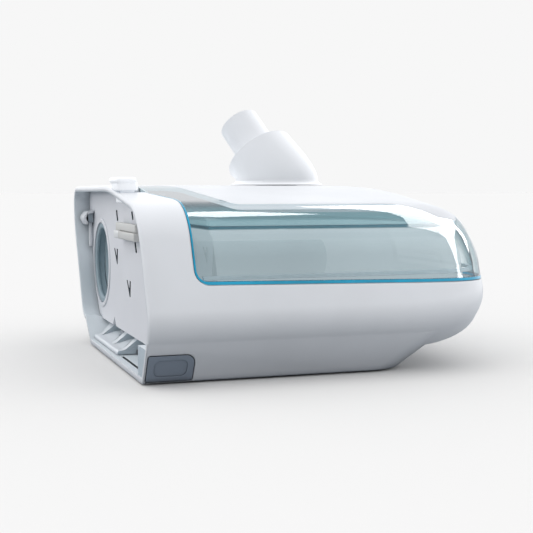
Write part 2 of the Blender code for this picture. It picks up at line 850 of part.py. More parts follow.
def make_elbow_rings():
    profile = [(20.2, 85.0), (20.2, 86.1), (18.0, 86.1), (18.0, 85.0)]
    seal = turned("swivel_seal", profile, (*ELBOW, 0))
    bush = ring("swivel_bush", (*ELBOW, 0), TUBE_RADIUS + 1.0, 13.6, 82.4, 84.5)
    return [seal, bush]


# ---------------------------------------------------------------- tank


def tank_form(name, depth, left, low, high):
    form = pebble(name, depth)
    return common(form, slab("tank_part", x0=left, z0=low, z1=high))


def make_water_tank():
    tank = tank_form("water_tank", TANK_INSET, TANK_LEFT, TANK_BOTTOM, TANK_SPLIT - 1)
    flange = tank_form("flange", TANK_INSET - 2.2, TANK_LEFT - 1.5, TANK_SPLIT - 2, TANK_SPLIT)
    join(tank, flange)
    inner = tank_form(
        "tank_hollow", TANK_INSET + TANK_WALL, TANK_LEFT + TANK_WALL, TANK_BOTTOM + TANK_WALL, 90
    )
    cut(tank, inner)
    x, y = PLATE_CENTRE
    cut(tank, plate("floor_hole", rectangle(x - 38, y - 38, x + 38, y + 38, 14), 20, 35))
    return cut(tank, rod("tank_inlet", (20, PORT_Y, PORT_Z), (40, PORT_Y, PORT_Z), 11.2))


def make_tank_base_plate():
    x, y = PLATE_CENTRE
    corners = rectangle(x - 37.7, y - 37.7, x + 37.7, y + 37.7, 13.7)
    return plate("tank_base_plate", corners, PLATE_TOP + GAP, 26.6)


def make_tank_seal():
    seal = tank_form("tank_seal", TANK_INSET - 1.8, TANK_LEFT - 1.1, TANK_SPLIT + GAP, TANK_SPLIT + 1.5)
    return cut(seal, tank_form("seal_hollow", TANK_INSET + 1.4, TANK_LEFT + 1.6, 60, 90))


def make_tank_lid():
    bottom = TANK_SPLIT + 1.8
    lid = tank_form("tank_lid", TANK_INSET, TANK_LEFT, bottom + 1, 90)
    join(lid, tank_form("lid_flange", TANK_INSET - 2.2, TANK_LEFT - 1.5, bottom, bottom + 2.2))
    inner = tank_form("lid_hollow", TANK_INSET + TANK_WALL, TANK_LEFT + TANK_WALL, 60, 90)
    cut(lid, inner)
    return cut(lid, rod("tank_outlet", (*ELBOW, 60), (*ELBOW, 90), 12.5))


def make_tank_duct():
    centre = (TANK_LEFT + TANK_WALL + GAP, PORT_Y, PORT_Z)
    profile = [(11.6, 0), (11.6, 1.6), (10.6, 1.6), (10.6, 104), (9.0, 104), (9.0, 0)]
    return turned("tank_duct", profile, centre, "X")


# ---------------------------------------------------------------- assembly

# Material values: colour, roughness, metallic.
FINISHES = {
    "white_plastic": ((0.80, 0.81, 0.83), 0.35, 0.0),
    "grey_plastic": ((0.42, 0.45, 0.50), 0.45, 0.0),
    "light_grey_plastic": ((0.62, 0.65, 0.68), 0.45, 0.0),
    "tinted_window": ((0.35, 0.62, 0.70), 0.08, 0.0),
    "clear_tank": ((0.72, 0.80, 0.84), 0.08, 0.0),
    "blue_rubber": ((0.06, 0.25, 0.36), 0.60, 0.0),
    "dark_rubber": ((0.08, 0.09, 0.10), 0.75, 0.0),
    "steel": ((0.62, 0.63, 0.65), 0.30, 1.0),
    "contact_metal": ((0.80, 0.60, 0.25), 0.30, 1.0),
    "board_green": ((0.03, 0.25, 0.12), 0.50, 0.0),
    "cable_black": ((0.03, 0.03, 0.03), 0.55, 0.0),
    "insulator_white": ((0.75, 0.73, 0.68), 0.80, 0.0),
}

FINISH_OF = {
    "outer_casing": "white_plastic",
    "base_plate": "grey_plastic",
    "foot_pad": "dark_rubber",
    "base_screw": "steel",
    "dock_panel": "light_grey_plastic",
    "dock_hook": "white_plastic",
    "dock_ramp": "light_grey_plastic",
    "inlet_seal": "blue_rubber",
    "inlet_duct": "grey_plastic",
    "dock_connector": "white_plastic",
    "connector_contact": "contact_metal",
    "wire_harness": "cable_black",
    "circuit_board": "board_green",
    "tank_cradle": "light_grey_plastic",
    "heater_plate": "steel",
    "heater_element": "steel",
    "heater_insulator": "insulator_white",
    "temperature_sensor": "steel",
    "heater_spring": "steel",
    "release_button": "grey_plastic",
    "dock_latch": "grey_plastic",
    "lid_latch": "white_plastic",
    "button_spring": "steel",
    "latch_spring": "steel",
    "lid_window": "tinted_window",
    "lid_top": "white_plastic",
    "lid_liner": "light_grey_plastic",
    "lid_gasket": "blue_rubber",
    "outlet_seal": "blue_rubber",
    "hinge_pin": "steel",
    "outlet_elbow": "white_plastic",
    "outlet_tube": "white_plastic",
    "swivel_seal": "dark_rubber",
    "swivel_bush": "grey_plastic",
    "water_tank": "clear_tank",
    "tank_base_plate": "steel",
    "tank_seal": "blue_rubber",
    "tank_lid": "clear_tank",
    "tank_duct": "clear_tank",
}


def finish(obj):
    """Give obj its own material and smooth its round faces."""
    family = obj.name.rstrip("0123456789").rstrip("_")
    colour, roughness, metallic = FINISHES[FINISH_OF[family]]
    material = bpy.data.materials.new(obj.name)
    material.use_nodes = True
    shader = material.node_tree.nodes["Principled BSDF"]
    shader.inputs["Base Color"].default_value = (*colour, 1)
    shader.inputs["Roughness"].default_value = roughness
    shader.inputs["Metallic"].default_value = metallic
    obj.data.materials.clear()
    obj.data.materials.append(material)
    obj.data.shade_smooth()
    obj.data.set_sharp_from_angle(angle=math.radians(32))


def move_origin(obj, pivot):
    """Put obj's origin at pivot without moving its shape."""
    pivot = Vector(pivot) * MM
    for vertex in obj.data.vertices:
        vertex.co -= pivot
    obj.location = pivot


def make_empty(name, spot, parent=None):
    empty = bpy.data.objects.new(name, None)
    empty.location = Vector(spot) * MM
    empty.parent = parent
    COLLECTION.objects.link(empty)
    return empty


def place(parts, frame, pivot=None):
    """Hang parts on the module's frame, with a moving part's origin on its axis."""
    for obj in parts:
        if pivot:
            move_origin(obj, pivot)
        obj.parent = frame
        finish(obj)


def build():
    clear_scene()
    bpy.context.scene.collection.children.link(COLLECTION)
    frame = make_empty("module_frame", (*FRAME_SHIFT, 0))
    place([make_outer_casing(), make_base_plate(), *make_foot_pads(), *make_base_screws()], frame)
    place([make_dock_panel(), make_dock_hook(), make_dock_ramp()], frame)
    place([make_inlet_seal(), make_inlet_duct()], frame)
    place([make_dock_connector(), *make_connector_contacts()], frame)
    place([make_wire_harness(), make_circuit_board(), make_tank_cradle(), make_hinge_pin()], frame)
    place(make_small_springs(), frame)
    place(make_heater_parts(), frame)
    place([make_release_button(), make_dock_latch()], frame, (11.3, 0, 7.3))
    place([make_lid_latch()], frame, (5.1, 60, 84))
    lid_parts = [make_lid_window(), make_lid_top(), make_lid_liner()]
    lid_parts += [make_lid_gasket(), make_outlet_seal()]
    place(lid_parts, frame, (LID_LEFT, HINGE_Y, HINGE_Z))
    elbow_parts = [make_outlet_elbow(), make_outlet_tube(), *make_elbow_rings()]
    place(elbow_parts, frame, (*ELBOW, ELBOW_BASE_Z))
    tank_parts = [make_water_tank(), make_tank_base_plate(), make_tank_seal()]
    tank_parts += [make_tank_lid(), make_tank_duct()]
    place(tank_parts, frame, (*PLATE_CENTRE, TANK_BOTTOM))


build()
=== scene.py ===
"""Looks of the docking humidifier module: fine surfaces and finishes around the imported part.

Shapes are laid out in millimetres from the front corner of the docking end, with X along
the module, Y from front to back and Z up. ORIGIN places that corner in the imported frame.
"""

import math

import bmesh
import bpy
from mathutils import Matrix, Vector


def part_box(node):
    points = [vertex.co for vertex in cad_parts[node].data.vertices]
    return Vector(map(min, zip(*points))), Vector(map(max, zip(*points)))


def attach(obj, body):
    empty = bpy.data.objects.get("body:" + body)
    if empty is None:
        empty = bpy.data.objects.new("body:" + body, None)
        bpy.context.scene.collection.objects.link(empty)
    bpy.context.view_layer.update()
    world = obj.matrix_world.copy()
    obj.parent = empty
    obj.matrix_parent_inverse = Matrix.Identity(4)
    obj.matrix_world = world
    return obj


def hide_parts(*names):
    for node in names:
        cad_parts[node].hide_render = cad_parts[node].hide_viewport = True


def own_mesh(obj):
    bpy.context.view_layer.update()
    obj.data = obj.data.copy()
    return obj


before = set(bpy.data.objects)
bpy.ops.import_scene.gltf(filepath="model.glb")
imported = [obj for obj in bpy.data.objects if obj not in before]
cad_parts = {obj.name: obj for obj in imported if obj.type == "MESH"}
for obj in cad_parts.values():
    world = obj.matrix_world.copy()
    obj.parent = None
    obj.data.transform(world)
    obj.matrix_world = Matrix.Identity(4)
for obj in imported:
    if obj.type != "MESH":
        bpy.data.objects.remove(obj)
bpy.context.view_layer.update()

MM = 0.001
FAR = 400.0

# Casing form.
LENGTH = 175.0
WALL = 2.4
GAP = 0.3
MIDDLE_Y = 84.0
MIDDLE_Z = 46.0
SECTION = [
    (-4, 11, 2),
    (-16, 24, 14),
    (7, 75.2, 28),
    (75, 84.6, 150),
    (182, 84.3, 9),
    (179.5, 62, 40),
    (152, 11, 14),
]
END_START_FRONT = 104.0
END_START_TOP = 106.0
END_START_BOTTOM = 130.0
END_POWER_Y = 3.8
END_POWER_TOP = 3.2
END_POWER_BOTTOM = 2.15
END_BULGE = 3.0
END_BULGE_Z = 50.0
END_BULGE_SPREAD = 9.0
RIM = [(0.0, 1.4), (0.17, 0.9), (0.5, 0.46), (1.05, 0.17), (1.8, 0.0)]

FOOT_BOTTOM = 0.6
FOOT_TOP = 19.0
FOOT_RISE = 12.0

# Docking end.
DOCK_FLOOR = 3.0
PANEL_X = 8.8
PANEL_BOTTOM = 12.6
BAY_START = 27.0
LINK_X = 14.0
PORT_Y = 139.5
PORT_Z = 43.0
PORT_RADIUS = 21.8
RAMP_START = 66.0
RAMP_RIBS = [(66.2, 72.0), (90.0, 97.0), (125.0, 170.0)]

# Lid.
LID_LEFT = 21.8
LID_BOTTOM = 42.5
LID_SLOPE = 0.0145
LID_REAR_Z = 70.0
HINGE_Y = 178.6
HINGE_Z = 70.0
KNUCKLE_RADIUS = 3.0
PIN_RADIUS = 1.3
HINGE_STOPS = (22.4, 40.0, 62.0, 84.0, 106.0, 123.6)
LID_TONGUE = [
    (60, 10, 0),
    (LID_LEFT, 10, 0),
    (LID_LEFT, 28, 14),
    (13.8, 48, 14),
    (13.8, 96, 14),
    (LID_LEFT, 118, 14),
    (LID_LEFT, 130, 0),
    (60, 130, 0),
]
TOP_PANEL = [
    (28, 215, 4),
    (28, 110, 10),
    (18, 98, 10),
    (18, 77.5, 4),
    (32.5, 74, 9),
    (44.8, 16.9, 6),
    (124, 16.9, 20),
    (144, 10, 10),
    (156, 14, 10),
    (172, 50, 30),
    (168, 140, 34),
    (150, 215, 10),
]

# Outlet.
ELBOW = (102.7, 120.0)
ELBOW_BASE_Z = 84.95
ELBOW_DOME_Z = 87.2
ELBOW_DOME_RADIUS = 22.6
ELBOW_FLARE = [(25.3, ELBOW_BASE_Z), (25.4, 85.15), (25.1, 85.4), (24.2, 85.8), (23.3, 86.35)]
MOUTH_REACH = 13.0
MOUTH_RADIUS = 19.4
TUBE_START = Vector((99.5, 120.0, 92.0))
TUBE_DIRECTION = Vector((-0.313, 0.599, 0.738)).normalized()
TUBE_LENGTH = 37.0
TUBE_RADIUS = 11.4
TUBE_WALL = 1.8

# Tank.
TANK_LEFT = 33.5
TANK_INSET = 7.0
TANK_WALL = 2.2
TANK_BOTTOM = 25.0
TANK_SPLIT = 64.8
PLATE_CENTRE = (86.0, 84.0)

PIN_LOW, PIN_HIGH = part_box("hinge_pin")
ORIGIN = Vector((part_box("outer_casing")[0].x, (PIN_LOW.y + PIN_HIGH.y) / 2 - HINGE_Y * MM, 0))


# ---------------------------------------------------------------- outlines


def rounded(corners, step=6.0):
    """Closed outline of corners (a, b, radius), each rounded by an arc."""
    points = []
    for index, (a, b, radius) in enumerate(corners):
        here = Vector((a, b))
        if radius <= 0:
            points.append(here)
            continue
        after = corners[(index + 1) % len(corners)]
        back = (Vector(corners[index - 1][:2]) - here).normalized()
        ahead = (Vector(after[:2]) - here).normalized()
        half = back.angle(ahead) / 2
        centre = here + (back + ahead).normalized() * radius / math.sin(half)
        start = here + back * radius / math.tan(half) - centre
        turn = start.angle_signed(here + ahead * radius / math.tan(half) - centre)
        count = max(1, round(math.degrees(abs(turn)) / step))
        for k in range(count + 1):
            angle = -turn * k / count
            cosine, sine = math.cos(angle), math.sin(angle)
            points.append(
                centre + Vector((start.x * cosine - start.y * sine, start.x * sine + start.y * cosine))
            )
    return points


def inset(corners, distance):
    """The same outline with every side moved inwards by distance."""
    count = len(corners)
    area = sum(
        corners[i - 1][0] * corners[i][1] - corners[i][0] * corners[i - 1][1] for i in range(count)
    )
    inward = 1 if area > 0 else -1
    moved = []
    for index, (a, b, radius) in enumerate(corners):
        here = Vector((a, b))
        before = (here - Vector(corners[index - 1][:2])).normalized()
        after = (Vector(corners[(index + 1) % count][:2]) - here).normalized()
        normal = Vector((-before.y, before.x)) * inward
        next_normal = Vector((-after.y, after.x)) * inward
        shift = (normal + next_normal) / (1 + normal.dot(next_normal))
        convex = (before.x * after.y - before.y * after.x) * inward > 0
        new_radius = radius - distance if convex else radius + distance
        moved.append((*(here + shift * distance), max(new_radius, 0.3) if radius > 0 else 0))
    return moved


def rectangle(a0, b0, a1, b1, radius=0.0):
    return [(a0, b0, radius), (a1, b0, radius), (a1, b1, radius), (a0, b1, radius)]


# ---------------------------------------------------------------- solids


def add_mesh(name, bm):
    """Object from bm, whose points are in layout millimetres."""
    bmesh.ops.recalc_face_normals(bm, faces=bm.faces)
    for vertex in bm.verts:
        vertex.co = vertex.co * MM + ORIGIN
    mesh = bpy.data.meshes.new(name)
    bm.to_mesh(mesh)
    bm.free()
    obj = bpy.data.objects.new(name, mesh)
    bpy.context.scene.collection.objects.link(obj)
    return obj


def loft(name, rings):
    """Closed solid through rings with the same number of points."""
    bm = bmesh.new()
    layers = [[bm.verts.new(point) for point in points] for points in rings]
    count = len(rings[0])
    for lower, upper in zip(layers, layers[1:]):
        for k in range(count):
            after = (k + 1) % count
            bm.faces.new((lower[k], lower[after], upper[after], upper[k]))
    caps = [bm.faces.new(layers[0]), bm.faces.new(layers[-1])]
    bmesh.ops.triangulate(bm, faces=caps)
    return add_mesh(name, bm)


def edge_steps(low, high, edge, steps=3):
    """Heights and side offsets that round both ends of a slab by a quarter circle."""
    if edge <= 0:
        return [(low, 0.0), (high, 0.0)]
    arc = []
    for k in range(steps + 1):
        angle = math.radians(90 * k / steps)
        arc.append((edge * (1 - math.sin(angle)), edge * (1 - math.cos(angle))))
    bottom = [(low + rise, side) for side, rise in arc]
    return bottom + [(high - rise, side) for side, rise in reversed(arc)]


def slab(name, corners, low, high, axis="Z", edge=0.0, step=6.0):
    """Outline extruded from low to high along axis, with its edges rounded by edge."""
    rings = []
    for height, side in edge_steps(low, high, edge):
        points = rounded(inset(corners, side) if side else corners, step)
        if axis == "X":
            rings.append([(height, a, b) for a, b in points])
        elif axis == "Y":
            rings.append([(a, height, b) for a, b in points])
        else:
            rings.append([(a, b, height) for a, b in points])
    return loft(name, rings)


def block(name, low, high, edge=0.0, radius=0.0):
    """Box between two corners, its upright edges rounded by radius, the others by edge."""
    corners = rectangle(low[0], low[1], high[0], high[1], max(radius, edge * 1.2))
    return slab(name, corners, low[2], high[2], "Z", edge)


def space(name, low, high):
    """Plain box used only as a cutting tool."""
    return slab(name, rectangle(low[0], low[1], high[0], high[1]), low[2], high[2])


def half(x0=-FAR, x1=FAR, y0=-FAR, y1=FAR, z0=-FAR, z1=FAR):
    return space("region", (x0, y0, z0), (x1, y1, z1))


def turned(name, profile, centre, axis="Z", sides=72):
    """Closed profile of (radius, height, corner radius) turned around an axis through centre."""
    points = rounded(profile, 15)
    rings = []
    for k in range(sides):
        angle = 2 * math.pi * k / sides
        cosine, sine = math.cos(angle), math.sin(angle)
        layer = []
        for radius, height in points:
            a, b = radius * cosine, radius * sine
            spot = (height, a, b) if axis == "X" else (a, b, height)
            layer.append(Vector(spot) + Vector(centre))
        rings.append(layer)
    bm = bmesh.new()
    layers = [[bm.verts.new(point) for point in layer] for layer in rings]
    count = len(points)
    for index, layer in enumerate(layers):
        other = layers[(index + 1) % sides]
        for k in range(count):
            after = (k + 1) % count
            bm.faces.new((layer[k], layer[after], other[after], other[k]))
    bmesh.ops.remove_doubles(bm, verts=bm.verts, dist=1e-5)
    return add_mesh(name, bm)


def band(inner, outer, low, high, edge=0.4):
    """Profile of a ring for turned()."""
    return [(outer, high, edge), (outer, low, edge), (inner, low, edge), (inner, high, edge)]


def pipe(name, points, radius, sides=24):
    """Round rod along points, carried along without twisting."""
    points = [Vector(point) for point in points]
    tangents = []
    for index in range(len(points)):
        before = points[max(index - 1, 0)]
        after = points[min(index + 1, len(points) - 1)]
        tangents.append((after - before).normalized())
    side = tangents[0].orthogonal().normalized()
    rings = []
    for point, tangent in zip(points, tangents):
        side = (side - tangent * side.dot(tangent)).normalized()
        other = tangent.cross(side)
        ring = []
        for k in range(sides):
            angle = 2 * math.pi * k / sides
            ring.append(point + (side * math.cos(angle) + other * math.sin(angle)) * radius)
        rings.append(ring)
    return loft(name, rings)


def coil(name, start, end, radius, wire_radius, turns):
    start, end = Vector(start), Vector(end)
    axis = (end - start).normalized()
    side = axis.orthogonal().normalized()
    other = axis.cross(side)
    steps = round(turns * 20)
    points = []
    for k in range(steps + 1):
        angle = 2 * math.pi * turns * k / steps
        spoke = side * math.cos(angle) + other * math.sin(angle)
        points.append(start.lerp(end, k / steps) + spoke * radius)
    return pipe(name, points, wire_radius, 10)


# ---------------------------------------------------------------- Booleans


def combine(target, tool, operation, solver="MANIFOLD"):
    modifier = target.modifiers.new("combine", "BOOLEAN")
    modifier.operation = operation
    modifier.solver = solver
    modifier.object = tool
    graph = bpy.context.evaluated_depsgraph_get()
    mesh = bpy.data.meshes.new_from_object(target.evaluated_get(graph))
    target.modifiers.clear()
    target.data = mesh
    bpy.data.objects.remove(tool, do_unlink=True)
    return target


def cut(target, *tools):
    for tool in tools:
        combine(target, tool, "DIFFERENCE")
    return target


def join(target, *tools):
    for tool in tools:
        combine(target, tool, "UNION")
    return target


def common(target, *tools):
    for tool in tools:
        combine(target, tool, "INTERSECT")
    return target


# ---------------------------------------------------------------- casing form


def end_reaches():
    """How far each ring of the rounded end reaches, closer together where it turns."""
    angles = [0, 0.4, 1.2, 2.5, 4.5, 7, 10, 13.5, 17, 21, 25, 29, 33, 37, 41, 45, 49, 53]
    angles += [57, 61, 65, 68.5, 72, 75, 78, 81, 83.5, 86, 88, 89.2, 89.8]
    return [math.sin(math.radians(angle)) ** (2 / END_POWER_Y) for angle in angles]


def end_point(y, z, reach, depth):
    """Point of the rounded end: the section point (y, z) drawn in as reach grows."""
    side = (y - MIDDLE_Y) / 97.0
    upper = z > MIDDLE_Z
    height = (z - MIDDLE_Z) / (38.5 if upper else 35.0)
    share = height**2 / (height**2 + side**2)
    start = END_START_TOP if upper else END_START_BOTTOM
    start = END_START_FRONT * (1 - share) + start * share
    power = END_POWER_TOP if upper else END_POWER_BOTTOM
    shrink_y = (1 - reach**END_POWER_Y) ** (1 / END_POWER_Y)
    shrink_z = (1 - reach**power) ** (1 / power)
    new_z = MIDDLE_Z + (z - MIDDLE_Z) * shrink_z
    bulge = END_BULGE * reach**2 * math.exp(-(((new_z - END_BULGE_Z) / END_BULGE_SPREAD) ** 2))
    x = start + (LENGTH - depth - start) * reach + bulge
    return (x, MIDDLE_Y + (y - MIDDLE_Y) * shrink_y, new_z)


def section_at(depth, step=5.0, run=7.0):
    """Section moved inwards, with as many points as the outer one."""
    outer = rounded(SECTION, step)
    inner = rounded(inset(SECTION, depth), step)
    points = []
    for k, start in enumerate(inner):
        after = (k + 1) % len(inner)
        count = max(1, math.ceil((outer[after] - outer[k]).length / run))
        points += [start.lerp(inner[after], share / count) for share in range(count)]
    return points


def pebble(name, depth, starts=((-3.0, 0.0),)):
    """Body of the casing moved inwards by depth; starts lists (x, extra depth) of the open end."""
    rings = []
    for x, extra in starts:
        rings.append([(x, y, z) for y, z in section_at(depth + extra)])
    section = section_at(depth)
    for reach in end_reaches():
        rings.append([end_point(y, z, reach, depth) for y, z in section])
    return loft(name, rings)


def foot_outline(height, depth, left=-3.0):
    share = height / FOOT_RISE
    front = -7.0 * share
    back = 126 + 19 * min(share, 1.33)
    right = 124 + 14 * share
    corners = [
        (left, front + depth, 0),
        (right - depth, front + depth, 18 - depth),
        (right - depth, back - depth, 18 - depth),
        (left, back - depth, 0),
    ]
    return [(a, b, height) for a, b in rounded(corners, 5)]


def foot(name, depth, low, high, left=-3.0, edge=0.0):
    """Plinth between two heights, with its sides moved inwards by depth."""
    rings = [foot_outline(height, depth + side, left) for height, side in edge_steps(low, high, edge)]
    return loft(name, rings)


def casing_form(name, depth, floor, start=0.0, starts=((-3.0, 0.0),), edge=0.0):
    """Body and foot in one, cut flat at x = start."""
    form = join(pebble(name, depth, starts), foot("foot_form", depth, floor, FOOT_TOP, edge=edge))
    return cut(form, half(x1=start))


def lid_region(grow=0.0, left=0.0, bottom=0.0):
    """Space of the lid, grown outwards, or with its left and lower sides moved inwards."""
    fall = LID_SLOPE * (FAR - LID_LEFT)
    side = [
        (LID_LEFT + left, LID_BOTTOM + bottom, 6 - bottom),
        (FAR, LID_BOTTOM + bottom - fall, 0),
        (FAR, FAR, 0),
        (LID_LEFT + left, FAR, 0),
    ]
    end = [
        (-FAR, LID_BOTTOM + bottom - 6, 0),
        (113.2, LID_BOTTOM + bottom - 6, 10),
        (140, LID_REAR_Z + bottom, 10),
        (FAR, LID_REAR_Z + bottom, 0),
        (FAR, FAR, 0),
        (-FAR, FAR, 0),
    ]
    region = slab("lid_region", inset(side, -grow), -FAR, FAR, "Y")
    common(region, slab("end_region", inset(end, -grow), -FAR, FAR, "X"))
    return join(region, slab("tongue", inset(LID_TONGUE, left - grow), 73 - grow, 120))


def rod(start, end, radius, sides=32):
    return pipe("rod", [start, end], radius, sides)


def knuckles(name, first):
    parts = []
    for index in range(first, len(HINGE_STOPS) - 1, 2):
        low = HINGE_STOPS[index] + GAP / 2
        high = HINGE_STOPS[index + 1] - GAP / 2
        profile = band(0.5, KNUCKLE_RADIUS, 0, high - low, 0.35)
        barrel = turned(name, profile, (low, HINGE_Y, HINGE_Z), "X", 40)
        core = rod((low + 0.4, HINGE_Y, HINGE_Z), (high - 0.4, HINGE_Y, HINGE_Z), 1)
        parts.append((join(barrel, core), low, high))
    return parts


def hinge_bore():
    return rod((21.6, HINGE_Y, HINGE_Z), (125, HINGE_Y, HINGE_Z), PIN_RADIUS + GAP)


def hinge_relief():
    return rod((21.2, HINGE_Y, HINGE_Z), (130, HINGE_Y, HINGE_Z), KNUCKLE_RADIUS + 0.5, 40)


# ---------------------------------------------------------------- node materials


class Graph:
    """Short way to write a node tree."""

    def __init__(self, tree):
        self.tree = tree
        tree.nodes.clear()

    def add(self, kind, **settings):
        item = self.tree.nodes.new(kind)
        for key, value in settings.items():
            if hasattr(item, key) and key not in item.inputs:
                setattr(item, key, value)
            else:
                self.set(item, key.replace("_", " "), value)
        return item

    def set(self, item, socket, value):
        target = item.inputs[socket]
        if isinstance(value, bpy.types.NodeSocket):
            self.tree.links.new(value, target)
        else:
            target.default_value = value

    def math(self, operation, first, second=0.0, clamp=False):
        item = self.tree.nodes.new("ShaderNodeMath")
        item.operation = operation
        item.use_clamp = clamp
        self.set(item, 0, first)
        self.set(item, 1, second)
        return item.outputs[0]

    def blend(self, factor, first, second):
        """Colour between first and second."""
        item = self.tree.nodes.new("ShaderNodeMix")
        item.data_type = "RGBA"
        self.set(item, 0, factor)
        for socket, value in ((6, first), (7, second)):
            self.set(item, socket, value if isinstance(value, bpy.types.NodeSocket) else (*value, 1))
        return item.outputs[2]

    def spread(self, value, low, high, out_low=0.0, out_high=1.0):
        item = self.tree.nodes.new("ShaderNodeMapRange")
        self.set(item, 0, value)
        for socket, number in zip((1, 2, 3, 4), (low, high, out_low, out_high)):
            self.set(item, socket, number)
        return item.outputs[0]

    def noise(self, scale, detail=2.0, vector=None):
        item = self.tree.nodes.new("ShaderNodeTexNoise")
        self.set(item, "Scale", scale)
        self.set(item, "Detail", detail)
        self.set(item, "Vector", vector or self.place())
        return item.outputs["Fac"]

    def place(self):
        return self.tree.nodes.new("ShaderNodeTexCoord").outputs["Object"]

    def bump(self, height, strength, distance, rim=0.0):
        item = self.tree.nodes.new("ShaderNodeBump")
        self.set(item, "Height", height)
        self.set(item, "Strength", strength)
        self.set(item, "Distance", distance)
        if rim:
            edge = self.tree.nodes.new("ShaderNodeBevel")
            edge.samples = 4
            self.set(edge, "Radius", rim)
            self.set(item, "Normal", edge.outputs[0])
        return item.outputs[0]

    def leaking(self, shader, share):
        """Lets a share of the light through, while the surface looks solid."""
        path = self.tree.nodes.new("ShaderNodeLightPath")
        lit = self.math("MAXIMUM", path.outputs["Is Shadow Ray"], path.outputs["Is Diffuse Ray"])
        through = self.tree.nodes.new("ShaderNodeBsdfTransparent")
        mix = self.tree.nodes.new("ShaderNodeMixShader")
        self.set(mix, 0, self.math("MULTIPLY", lit, share))
        self.set(mix, 1, shader)
        self.set(mix, 2, through.outputs[0])
        return mix.outputs[0]

    def output(self, shader):
        item = self.tree.nodes.new("ShaderNodeOutputMaterial")
        self.tree.links.new(shader, item.inputs["Surface"])


def new_material(name):
    material = bpy.data.materials.new(name)
    material.use_nodes = True
    return material, Graph(material.node_tree)


def plastic(
    name,
    colour,
    roughness=0.35,
    grain=0.15,
    rim=0.0004,
    shade=None,
    coat=0.0,
    leak=0.0,
    inner=0.0,
    side=0.0,
    sheen=0.5,
):
    """Moulded plastic: clouded colour, fine grain, painted shade in crevices and softened edges.

    leak is the share of light that a thin wall lets through to what lies behind it, inner a painted glow
    of the surface's own colour, standing in for the light that a small milky part gathers from all
    round, and side how much more of that painted glow shows where the surface turns away, a painted rim
    light;
    sheen is the strength of the mirror reflection.
    """
    material, graph = new_material(name)
    cloud = graph.noise(22, 3)
    tone = graph.spread(cloud, 0.3, 0.7, 0.965, 1.03)
    # Painted shade: crevices, where the ambient occlusion is low, take the darker shade colour.
    dark = shade or tuple(channel * 0.72 for channel in colour)
    crevice = graph.add("ShaderNodeAmbientOcclusion", samples=4, Distance=0.0035)
    fill = graph.spread(crevice.outputs["AO"], 0.25, 0.95)
    body = graph.blend(fill, dark, colour)
    scaled = graph.add("ShaderNodeHueSaturation")
    graph.set(scaled, "Value", tone)
    graph.set(scaled, "Color", body)
    fine = graph.noise(2600, 2)
    satin = graph.math("ADD", roughness - 0.05, graph.math("MULTIPLY", graph.noise(160, 3), 0.10))
    shader = graph.add("ShaderNodeBsdfPrincipled")
    graph.set(shader, "Base Color", scaled.outputs[0])
    graph.set(shader, "Roughness", satin)
    graph.set(shader, "IOR", 1.49)
    graph.set(shader, "Coat Weight", coat)
    graph.set(shader, "Coat Roughness", 0.12)
    graph.set(shader, "Emission Color", scaled.outputs[0])
    # Painted glow: the surface emits its own colour by inner, and by up to side more where it turns away
    # from the view.
    facing = graph.add("ShaderNodeLayerWeight", Blend=0.5).outputs["Facing"]
    graph.set(shader, "Emission Strength", graph.spread(facing, 0.25, 0.8, inner, inner + side))
    graph.set(shader, "Specular IOR Level", sheen)
    graph.set(shader, "Normal", graph.bump(fine, grain, 0.00012, rim))
    graph.output(graph.leaking(shader.outputs[0], leak) if leak else shader.outputs[0])
    return material


def clear(name, face_tint, edge_tint, shine=1.0, painted_glow_share=0.0, painted_glow_low=(0.8, 0.88, 0.9), rim=(0.5, 1.0)):
    """Clear moulded wall: tint deepens at grazing angles, with reflections on its outer side.

    haze, the share of painted glow, stands in for light scattered inside the wall, which makes it look
    milky; the painted glow is 1.2 times brighter above the water line. rim gives where the edge tint
    starts and is full.
    """
    material, graph = new_material(name)
    facing = graph.add("ShaderNodeLayerWeight", Blend=0.35).outputs["Facing"]
    deep = graph.spread(facing, *rim)
    flow = graph.spread(graph.noise(9, 2), 0.35, 0.65, 0.97, 1.02)
    tint = graph.blend(deep, face_tint, edge_tint)
    toned = graph.add("ShaderNodeHueSaturation")
    graph.set(toned, "Color", tint)
    graph.set(toned, "Value", flow)
    through = graph.add("ShaderNodeBsdfTransparent", Color=toned.outputs[0])
    # Painted glow: an emission of the haze colour, 1.2 times brighter above the water line, mixed in by
    # the haze share.
    height = graph.add("ShaderNodeSeparateXYZ", Vector=graph.place()).outputs[2]
    wave = graph.math("MULTIPLY", graph.noise(40, 2), 0.003)
    above = graph.spread(graph.math("ADD", height, wave), 0.0545, 0.0615)
    painted_glow_colour = graph.blend(above, painted_glow_low, tuple(channel * 1.2 for channel in painted_glow_low))
    milky = graph.add("ShaderNodeEmission", Color=painted_glow_colour, Strength=1.0)
    veil = graph.add("ShaderNodeMixShader")
    graph.set(veil, 0, painted_glow_share)
    graph.set(veil, 1, through.outputs[0])
    graph.set(veil, 2, milky.outputs[0])
    ripple = graph.bump(graph.noise(28, 1), 0.25, 0.0004)
    mirror = graph.add("ShaderNodeBsdfGlossy", Roughness=0.035, Normal=ripple)
    fresnel = graph.add("ShaderNodeFresnel", IOR=1.5, Normal=ripple)
    outside = graph.math("SUBTRACT", 1.0, graph.add("ShaderNodeNewGeometry").outputs["Backfacing"])
    share = graph.math("MULTIPLY", graph.math("MULTIPLY", fresnel.outputs[0], outside), shine, True)
    mix = graph.add("ShaderNodeMixShader")
    graph.set(mix, 0, share)
    graph.set(mix, 1, veil.outputs[0])
    graph.set(mix, 2, mirror.outputs[0])
    graph.output(mix.outputs[0])
    return material


